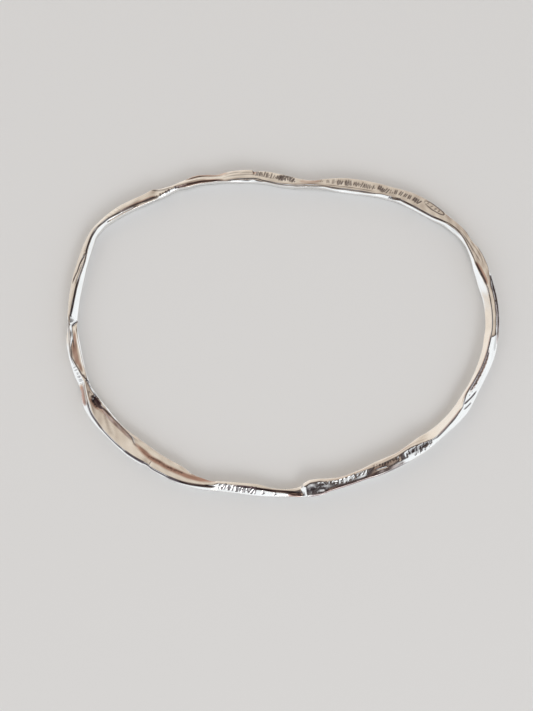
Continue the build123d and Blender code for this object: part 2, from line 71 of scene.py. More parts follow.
# Sections: turn; inner edge, brow, fold, ridge, rim and outer edge as shares of half the breadth, outward
# from the middle; then their six levels as shares of the height
SECTIONS = [
    # Left-hand side: a bevel towards the hand, which a pinch narrows, under a broad outer face
    (0.4, -0.56, -0.3, -0.26, 0.24, 0.38, 0.5, 0.7, 0.76, 0.78, 0.95, 0.94, 0.66),
    (1.1, -0.56, -0.48, -0.42, 0.26, 0.4, 0.51, 0.66, 0.69, 0.72, 0.965, 0.94, 0.65),
    (2.8, -0.57, 0.06, 0.2, 0.34, 0.46, 0.53, 0.64, 0.94, 0.965, 0.97, 0.94, 0.62),
    (5, -0.63, -0.08, 0.08, 0.3, 0.44, 0.52, 0.66, 0.94, 0.965, 0.975, 0.94, 0.6),
    (10, -0.7, -0.21, -0.06, 0.2, 0.46, 0.57, 0.68, 0.94, 0.965, 0.98, 0.94, 0.6),
    (14, -0.73, -0.32, -0.17, 0.12, 0.44, 0.55, 0.72, 0.94, 0.965, 0.98, 0.94, 0.6),
    (18, -0.72, -0.43, -0.29, 0.06, 0.38, 0.5, 0.77, 0.93, 0.955, 0.98, 0.94, 0.6),
    (20.5, -0.65, -0.32, -0.17, 0.1, 0.4, 0.52, 0.76, 0.94, 0.965, 0.98, 0.94, 0.6),
    (24, -0.53, -0.12, 0.03, 0.22, 0.44, 0.58, 0.74, 0.95, 0.98, 0.98, 0.94, 0.6),
    (27, -0.38, -0.05, 0.11, 0.28, 0.44, 0.57, 0.77, 0.95, 0.975, 0.98, 0.94, 0.6),
    (30, -0.38, -0.07, 0.04, 0.2, 0.36, 0.48, 0.8, 0.95, 0.97, 0.98, 0.94, 0.6),
    (33, -0.55, -0.34, -0.22, 0.06, 0.32, 0.42, 0.86, 0.87, 0.955, 0.975, 0.95, 0.6),
    (36, -0.7, -0.52, -0.4, -0.04, 0.28, 0.37, 0.87, 0.88, 0.94, 0.975, 0.95, 0.6),
    (40, -0.77, -0.64, -0.52, -0.08, 0.22, 0.33, 0.87, 0.88, 0.93, 0.97, 0.955, 0.58),
    (43, -0.8, -0.68, -0.56, -0.1, 0.2, 0.3, 0.87, 0.88, 0.9, 0.945, 0.96, 0.56),
    # Knuckle, where the broad face ends in a step and the band goes on slim
    (45.5, -0.84, -0.72, -0.6, -0.1, 0.24, 0.36, 0.88, 0.89, 0.91, 0.955, 0.99, 0.54),
    (46.6, -0.84, -0.74, -0.62, -0.08, 0.26, 0.38, 0.88, 0.89, 0.91, 0.96, 1, 0.54),
    (48.4, -0.86, -0.62, -0.44, -0.1, 0.12, 0.27, 0.8, 0.93, 0.95, 0.95, 0.91, 0.54),
    (50, -0.8, -0.58, -0.44, -0.16, 0.04, 0.18, 0.8, 0.93, 0.95, 0.955, 0.91, 0.52),
    (52, -0.68, -0.46, -0.36, -0.16, 0, 0.12, 0.8, 0.93, 0.95, 0.96, 0.91, 0.5),
    (54.5, -0.54, -0.46, -0.3, -0.1, 0.06, 0.19, 0.86, 0.87, 0.92, 0.95, 0.92, 0.5),
    (57.5, -0.7, -0.58, -0.36, -0.14, 0.16, 0.34, 0.88, 0.885, 0.925, 0.96, 0.93, 0.5),
    (60.5, -0.66, -0.58, -0.36, -0.08, 0.3, 0.53, 0.87, 0.875, 0.915, 0.96, 0.94, 0.5),
    (64, -0.7, -0.66, -0.5, -0.3, 0.18, 0.32, 0.88, 0.885, 0.92, 0.935, 0.87, 0.5),
    (67, -0.72, -0.68, -0.56, -0.42, 0.02, 0.17, 0.88, 0.885, 0.91, 0.925, 0.86, 0.5),
    # Far leaf: two lobes on the outer side of a low ridge, with a nick between them
    (70, -0.82, -0.72, -0.66, -0.52, 0.2, 0.33, 0.88, 0.9, 0.915, 0.935, 0.9, 0.5),
    (73, -0.9, -0.72, -0.62, -0.44, 0.32, 0.46, 0.82, 0.9, 0.925, 0.945, 0.95, 0.52),
    (77, -0.93, -0.64, -0.54, -0.32, 0.4, 0.55, 0.8, 0.905, 0.93, 0.95, 0.955, 0.52),
    (78.9, -0.9, -0.64, -0.52, -0.32, 0.4, 0.54, 0.81, 0.905, 0.93, 0.95, 0.955, 0.52),
    (79.8, -0.87, -0.64, -0.52, -0.32, 0.2, 0.38, 0.82, 0.905, 0.93, 0.95, 0.9, 0.52),
    (81.2, -0.89, -0.7, -0.58, -0.36, 0.34, 0.48, 0.84, 0.905, 0.93, 0.95, 0.95, 0.52),
    (84, -0.93, -0.82, -0.7, -0.46, 0.34, 0.46, 0.85, 0.9, 0.93, 0.955, 0.95, 0.52),
    (88.5, -1, -0.92, -0.8, -0.6, 0.24, 0.35, 0.85, 0.89, 0.92, 0.95, 0.95, 0.54),
    (93, -0.97, -0.9, -0.8, -0.66, 0.16, 0.27, 0.85, 0.89, 0.915, 0.95, 0.95, 0.56),
    # Far waist, slim and tall
    (96, -0.89, -0.8, -0.7, -0.46, 0.02, 0.11, 0.87, 0.9, 0.925, 0.96, 0.95, 0.58),
    (101, -0.8, -0.72, -0.6, -0.4, -0.1, -0.02, 0.87, 0.9, 0.925, 0.965, 0.96, 0.58),
    # Far panel: a long level face with a bevel towards the hand
    (105.5, -0.84, -0.72, -0.6, -0.4, 0.18, 0.3, 0.83, 0.89, 0.915, 0.93, 0.94, 0.56),
    (110, -1.04, -0.82, -0.7, -0.44, 0.38, 0.5, 0.79, 0.885, 0.912, 0.928, 0.94, 0.58),
    (115, -1.12, -0.84, -0.72, -0.46, 0.48, 0.61, 0.765, 0.885, 0.913, 0.93, 0.94, 0.58),
    (120, -1.06, -0.86, -0.74, -0.48, 0.46, 0.6, 0.79, 0.885, 0.913, 0.93, 0.94, 0.58),
    (123, -1, -0.78, -0.68, -0.48, 0.42, 0.54, 0.79, 0.895, 0.918, 0.93, 0.94, 0.58),
    (126, -0.95, -0.68, -0.6, -0.44, 0.4, 0.51, 0.77, 0.9, 0.92, 0.93, 0.94, 0.58),
    (127.8, -0.94, -0.68, -0.6, -0.44, 0.4, 0.5, 0.77, 0.9, 0.92, 0.93, 0.94, 0.58),
    (129.2, -0.93, -0.82, -0.62, -0.4, 0.42, 0.52, 0.82, 0.865, 0.91, 0.93, 0.94, 0.58),
    (131, -0.94, -0.74, -0.6, -0.2, 0.46, 0.57, 0.79, 0.885, 0.925, 0.94, 0.94, 0.58),
    (134, -1.04, -0.82, -0.68, -0.16, 0.54, 0.66, 0.765, 0.875, 0.915, 0.94, 0.94, 0.58),
    (138, -1.06, -0.83, -0.69, -0.12, 0.56, 0.68, 0.75, 0.87, 0.91, 0.945, 0.94, 0.58),
    (142.3, -0.98, -0.76, -0.62, -0.04, 0.47, 0.58, 0.76, 0.875, 0.915, 0.95, 0.94, 0.58),
    # Right shoulder, where the bevel widens into a face and the outer side splits in two
    (146.5, -0.7, -0.44, -0.3, 0.02, 0.38, 0.49, 0.78, 0.92, 0.96, 0.97, 0.94, 0.56),
    (149.3, -0.64, -0.3, -0.16, 0.06, 0.42, 0.54, 0.76, 0.93, 0.96, 0.965, 0.96, 0.56),
    (151.5, -0.56, -0.23, -0.1, 0.1, 0.42, 0.54, 0.77, 0.93, 0.955, 0.96, 0.968, 0.56),
    (155, -0.58, -0.39, -0.27, -0.02, 0.3, 0.43, 0.84, 0.935, 0.955, 0.955, 0.968, 0.56),
    (158, -0.69, -0.48, -0.36, 0, 0.5, 0.65, 0.82, 0.92, 0.945, 0.955, 0.975, 0.56),
    (160.8, -0.84, -0.56, -0.44, 0.02, 0.56, 0.69, 0.78, 0.915, 0.935, 0.95, 0.97, 0.56),
    (163.7, -0.98, -0.54, -0.38, 0.1, 0.56, 0.7, 0.72, 0.92, 0.9, 0.95, 0.968, 0.66),
    (166.6, -0.98, -0.36, -0.2, 0.12, 0.36, 0.64, 0.69, 0.945, 0.922, 0.952, 0.95, 0.91),
    (169, -0.93, -0.2, -0.06, 0.18, 0.3, 0.64, 0.68, 0.945, 0.926, 0.95, 0.945, 0.905),
    # Right-hand side: a level inner face and, past the corner, an outer face that falls away
    (172.5, -0.82, -0.1, 0.02, 0.26, 0.34, 0.68, 0.72, 0.938, 0.922, 0.946, 0.94, 0.903),
    (178, -0.75, -0.1, 0.02, 0.26, 0.34, 0.69, 0.76, 0.938, 0.922, 0.946, 0.94, 0.9),
    (181, -0.74, -0.08, 0.04, 0.28, 0.4, 0.66, 0.78, 0.945, 0.93, 0.947, 0.932, 0.898),
    (182.7, -0.77, -0.14, -0.02, 0.24, 0.42, 0.68, 0.78, 0.95, 0.932, 0.946, 0.926, 0.885),
    (184, -0.79, -0.2, -0.08, 0.16, 0.44, 0.7, 0.78, 0.96, 0.94, 0.87, 0.78, 0.64),
    (186.6, -0.76, -0.26, -0.14, 0.14, 0.46, 0.76, 0.78, 0.965, 0.94, 0.86, 0.75, 0.6),
    (190, -0.76, -0.26, 0.04, 0.22, 0.42, 0.7, 0.8, 0.965, 0.92, 0.86, 0.79, 0.64),
    (195, -0.73, -0.34, 0.02, 0.18, 0.38, 0.6, 0.82, 0.965, 0.905, 0.85, 0.78, 0.66),
    (198.5, -0.72, -0.42, -0.02, 0.14, 0.36, 0.6, 0.83, 0.96, 0.895, 0.84, 0.765, 0.63),
    (202, -0.76, -0.42, -0.28, 0.05, 0.42, 0.7, 0.82, 0.965, 0.94, 0.85, 0.74, 0.6),
    (204, -0.74, -0.24, -0.12, 0.14, 0.5, 0.78, 0.8, 0.985, 0.96, 0.89, 0.79, 0.64),
    (206, -0.7, 0.02, 0.12, 0.3, 0.56, 0.8, 0.76, 1, 0.98, 0.93, 0.84, 0.7),
    (210, -0.67, 0.04, 0.18, 0.4, 0.58, 0.74, 0.72, 0.995, 0.97, 0.9, 0.84, 0.76),
    (214, -0.66, 0.12, 0.26, 0.44, 0.56, 0.7, 0.72, 0.99, 0.965, 0.91, 0.865, 0.79),
    (217.5, -0.7, 0.2, 0.36, 0.48, 0.58, 0.72, 0.74, 0.99, 0.96, 0.92, 0.88, 0.8),
    # Near panel, which slopes outward and ends in a step down to the near waist
    (222, -0.8, -0.14, 0, 0.6, 0.76, 0.84, 0.9, 0.98, 0.965, 0.856, 0.8, 0.7),
    (226, -0.72, -0.36, -0.24, 0.52, 0.72, 0.8, 0.93, 0.985, 0.97, 0.832, 0.765, 0.68),
    (230, -0.62, -0.3, -0.18, 0.34, 0.7, 0.77, 0.94, 0.985, 0.975, 0.942, 0.875, 0.79),
    (237, -0.7, -0.28, -0.16, 0.3, 0.68, 0.75, 0.93, 0.985, 0.975, 0.946, 0.878, 0.78),
    (243, -0.54, -0.28, -0.16, 0.3, 0.52, 0.59, 0.95, 0.985, 0.97, 0.867, 0.839, 0.76),
    (250, -0.42, -0.22, -0.12, 0.3, 0.56, 0.63, 0.95, 0.985, 0.97, 0.876, 0.838, 0.76),
    (255, -0.62, -0.3, -0.18, 0.34, 0.61, 0.68, 0.93, 0.985, 0.97, 0.854, 0.815, 0.74),
    (258, -0.8, -0.54, -0.42, 0.06, 0.74, 0.81, 0.92, 0.985, 0.97, 0.863, 0.724, 0.65),
    (260.8, -0.84, -0.54, -0.42, 0.06, 0.75, 0.82, 0.92, 0.985, 0.97, 0.863, 0.724, 0.64),
    # Near waist, low and slim
    (262.6, -0.7, -0.36, -0.24, 0.1, 0.69, 0.77, 0.9, 0.965, 0.945, 0.872, 0.76, 0.67),
    (263.3, -0.62, -0.3, -0.18, 0.12, 0.64, 0.72, 0.88, 0.95, 0.93, 0.8, 0.69, 0.62),
    (264.5, -0.42, -0.12, -0.02, 0.16, 0.62, 0.66, 0.68, 0.73, 0.72, 0.7, 0.65, 0.61),
    (266.5, -0.3, -0.04, 0.06, 0.28, 0.52, 0.56, 0.71, 0.745, 0.74, 0.715, 0.68, 0.62),
    (269, -0.26, 0, 0.1, 0.26, 0.42, 0.5, 0.745, 0.78, 0.77, 0.74, 0.685, 0.62),
    (274, -0.32, -0.06, 0.04, 0.12, 0.44, 0.54, 0.79, 0.83, 0.815, 0.795, 0.685, 0.61),
    # Near leaf, a short panel that runs out to a point
    (279.5, -0.58, -0.18, -0.12, -0.04, 0.5, 0.6, 0.82, 0.9, 0.885, 0.86, 0.68, 0.6),
    (286, -0.55, -0.24, -0.18, -0.1, 0.44, 0.54, 0.85, 0.92, 0.91, 0.885, 0.7, 0.62),
    (291.5, -0.44, -0.22, -0.14, -0.06, 0.44, 0.55, 0.87, 0.93, 0.92, 0.9, 0.73, 0.65),
    # Broad leaf: a long hollow face between a raised outer rim and a low inner lip
    (294, -0.32, -0.14, 0.1, 0.28, 0.38, 0.62, 0.84, 0.91, 0.915, 0.885, 0.87, 0.76),
    (297, -0.44, -0.2, 0.04, 0.36, 0.5, 0.7, 0.84, 0.885, 0.87, 0.9, 0.86, 0.75),
    (300, -0.5, -0.28, 0, 0.54, 0.66, 0.79, 0.82, 0.865, 0.86, 0.89, 0.855, 0.76),
    (303, -0.76, -0.44, -0.04, 0.62, 0.75, 0.91, 0.8, 0.86, 0.855, 0.885, 0.845, 0.74),
    (306, -0.88, -0.62, -0.04, 0.64, 0.78, 0.94, 0.78, 0.855, 0.85, 0.88, 0.84, 0.73),
    (309.5, -0.9, -0.68, -0.06, 0.66, 0.8, 0.98, 0.78, 0.855, 0.85, 0.88, 0.835, 0.72),
    (312.4, -0.92, -0.7, -0.06, 0.7, 0.84, 0.97, 0.78, 0.855, 0.85, 0.88, 0.835, 0.74),
    (313.6, -0.94, -0.72, -0.06, 0.62, 0.74, 0.9, 0.78, 0.855, 0.845, 0.86, 0.82, 0.73),
    (316, -0.98, -0.76, -0.16, 0.7, 0.84, 1.08, 0.78, 0.85, 0.83, 0.88, 0.84, 0.7),
    (320, -0.99, -0.78, -0.26, 0.79, 0.93, 1.15, 0.78, 0.84, 0.79, 0.87, 0.83, 0.71),
    (323, -0.94, -0.72, -0.3, 0.8, 0.93, 1.12, 0.73, 0.83, 0.755, 0.86, 0.82, 0.72),
    (326, -0.88, -0.66, -0.3, 0.78, 0.91, 1.07, 0.72, 0.82, 0.75, 0.86, 0.82, 0.72),
    (330, -0.9, -0.6, -0.24, 0.78, 0.92, 1.11, 0.69, 0.82, 0.75, 0.86, 0.825, 0.7),
    (333, -0.9, -0.54, -0.2, 0.72, 0.88, 1.16, 0.67, 0.82, 0.77, 0.87, 0.83, 0.67),
    (336, -0.8, -0.44, -0.1, 0.52, 0.68, 1.16, 0.67, 0.815, 0.8, 0.87, 0.85, 0.66),
    (339, -0.66, -0.36, -0.14, 0.26, 0.44, 0.99, 0.7, 0.82, 0.84, 0.885, 0.87, 0.78),
    (341.5, -0.55, -0.34, -0.16, 0.04, 0.22, 0.64, 0.72, 0.83, 0.865, 0.895, 0.88, 0.8),
    # Crossing, where the ridge runs over to the inner side, and the small hollow face after it
    (344, -0.58, -0.44, -0.32, -0.2, -0.04, 0.62, 0.72, 0.83, 0.86, 0.872, 0.89, 0.6),
    (346.5, -0.62, -0.5, -0.36, -0.12, 0.06, 0.7, 0.72, 0.82, 0.8, 0.84, 0.89, 0.6),
    (349.4, -0.67, -0.52, -0.4, 0.14, 0.29, 0.74, 0.72, 0.82, 0.78, 0.85, 0.9, 0.68),
    (351.8, -0.69, -0.52, -0.4, 0.34, 0.5, 0.77, 0.72, 0.82, 0.78, 0.865, 0.91, 0.74),
    (354, -0.69, -0.52, -0.38, 0.28, 0.4, 0.76, 0.72, 0.82, 0.775, 0.855, 0.9, 0.74),
    (356.5, -0.65, -0.48, -0.3, 0.02, 0.25, 0.7, 0.73, 0.82, 0.79, 0.82, 0.91, 0.74),
    (358.8, -0.59, -0.38, -0.16, 0, 0.26, 0.56, 0.76, 0.82, 0.8, 0.82, 0.92, 0.72),
    (359.8, -0.56, -0.2, -0.1, 0, 0.27, 0.53, 0.76, 0.79, 0.8, 0.83, 0.94, 0.7),
]


def course(rows, column):
    """The smooth closed curve through one column of a table, to be read at any turns."""
    turns = np.array([row[0] for row in rows], float)
    values = np.array([row[column] for row in rows], float)
    gaps = np.diff(turns, append=turns[0] + 360)
    slopes = np.diff(values, append=values[0]) / gaps
    before, gap_before = np.roll(slopes, 1), np.roll(gaps, 1)
    near, far = gap_before + 2 * gaps, gaps + 2 * gap_before
    # A high or low point of the column stays one, with no overshoot beside it.
    with np.errstate(divide="ignore", invalid="ignore"):
        blend = (near + far) / (near / before + far / slopes)
    tangents = np.where(before * slopes > 0, blend, 0.0)

    def read(turn):
        i = (np.searchsorted(turns, np.mod(turn, 360), side="right") - 1) % len(turns)
        j = (i + 1) % len(turns)
        t = np.mod(turn - turns[i], 360) / gaps[i]
        bend = t * (1 - t) ** 2 * tangents[i] + t * t * (t - 1) * tangents[j]
        return values[i] + t * t * (3 - 2 * t) * (values[j] - values[i]) + gaps[i] * bend

    return read


LINES = 6
reach = course(BENDS, 1)
lift = course(LIFTS, 1)
places = [course(SECTIONS, column) for column in range(1, 1 + LINES)]
levels = [course(SECTIONS, column) for column in range(1 + LINES, 1 + 2 * LINES)]
inner, outer = places[0], places[-1]


def middle(turn):
    """Where the band's middle lies in plan, before the loop is centred."""
    angle = np.radians(180 - turn)
    east, north = np.cos(angle), np.sin(angle)
    plain = 1 / np.hypot(east / (LOOP_LENGTH / 2), north / (LOOP_WIDTH / 2))
    return np.stack([plain * reach(turn) * east, plain * reach(turn) * north], -1)


def outward(turn):
    """The level direction square to the band, away from the hand."""
    step = middle(turn + 1) - middle(turn - 1)
    step /= np.linalg.norm(step, axis=-1, keepdims=True)
    return np.stack([-step[..., 1], step[..., 0]], -1)


every_turn = np.arange(0, 360, 0.25)
widest = middle(every_turn) + outward(every_turn) * outer(every_turn)[:, None] * BREADTH / 2
LOOP_CENTRE = (widest.min(0) + widest.max(0)) / 2


def on_band(turn, share):
    """A point of the plan: a share of half the breadth outward from the band's middle."""
    return middle(turn) + outward(turn) * share[..., None] * BREADTH / 2 - LOOP_CENTRE


# Stations along the band stand closer together on the stamped panels, whose marks are fine.
FINE_PANELS = [
    (10, 22), (31, 38), (46, 56), (79, 96), (103, 146),
    (187, 207), (218, 265), (271, 293), (301, 316), (330, 362),
]
FINE_STEP, PLAIN_STEP = 0.00011, 0.00020
TURN_STEP = 0.02

turns = np.arange(0, 360, TURN_STEP)
fine = np.zeros(len(turns))
for first, last in FINE_PANELS:
    fine[(turns >= first) & (turns <= last)] = 1
crowding = 1 / PLAIN_STEP + fine * (1 / FINE_STEP - 1 / PLAIN_STEP)
turns = np.append(turns, 360)
tally = np.concatenate([[0], np.cumsum(np.linalg.norm(np.diff(middle(turns), axis=0), axis=1) * crowding)])
count = int(tally[-1])
stations = np.interp(np.arange(count) * tally[-1] / count, tally, turns)

# Round a section, from the inner foot over the top to the outer foot: how far each corner is rounded off,
# the points on its round, and the points on the straight side that follows it
CORNER_ROUND = np.array([0.00020, 0.00018, 0.00008, 0.00010, 0.00012, 0.00010, 0.00014, 0.00020])
ROUND_POINTS = (3, 4, 4, 4, 4, 4, 4, 3)
SIDE_POINTS = (1, 5, 5, 6, 6, 4, 1, 3)
LARGEST_SHARE = 0.42

half = BREADTH / 2
left, right = half * inner(stations), half * outer(stations)
inset = FOOT_INSET * (right - left)
foot = HEIGHT * lift(stations)
corners = [np.stack([left + inset, foot], -1)]
for place, level in zip(places, levels):
    corners.append(np.stack([half * place(stations), HEIGHT * level(stations)], -1))
corners.append(np.stack([right - inset, foot], -1))
corners = np.stack(corners, axis=1)
back = np.roll(corners, 1, axis=1) - corners
ahead = np.roll(corners, -1, axis=1) - corners
enter = corners + back * np.minimum(CORNER_ROUND / np.linalg.norm(back, axis=-1), LARGEST_SHARE)[..., None]
leave = corners + ahead * np.minimum(CORNER_ROUND / np.linalg.norm(ahead, axis=-1), LARGEST_SHARE)[..., None]
outline = []
for i in range(LINES + 2):
    for t in np.linspace(0, 1, ROUND_POINTS[i]):
        outline.append((1 - t) ** 2 * enter[:, i] + 2 * t * (1 - t) * corners[:, i] + t * t * leave[:, i])
    for k in range(SIDE_POINTS[i]):
        t = (k + 1) / (SIDE_POINTS[i] + 1)
        outline.append((1 - t) * leave[:, i] + t * enter[:, (i + 1) % (LINES + 2)])
outline = np.stack(outline, axis=1)

plan = (middle(stations) - LOOP_CENTRE)[:, None, :] + outward(stations)[:, None, :] * outline[..., :1]
skin = np.concatenate([plan, outline[..., 1:]], axis=-1)

# Only the faces that look upwards take creases and waves, which fade out on the steep sides.
STEEP, LEVEL = 0.2, 0.5
along = np.roll(skin, -1, axis=0) - np.roll(skin, 1, axis=0)
across = np.roll(skin, -1, axis=1) - np.roll(skin, 1, axis=1)
normals = np.cross(along, across)
normals /= np.linalg.norm(normals, axis=-1, keepdims=True)
on_top = np.clip((normals[..., 2] - STEEP) / (LEVEL - STEEP), 0, 1)

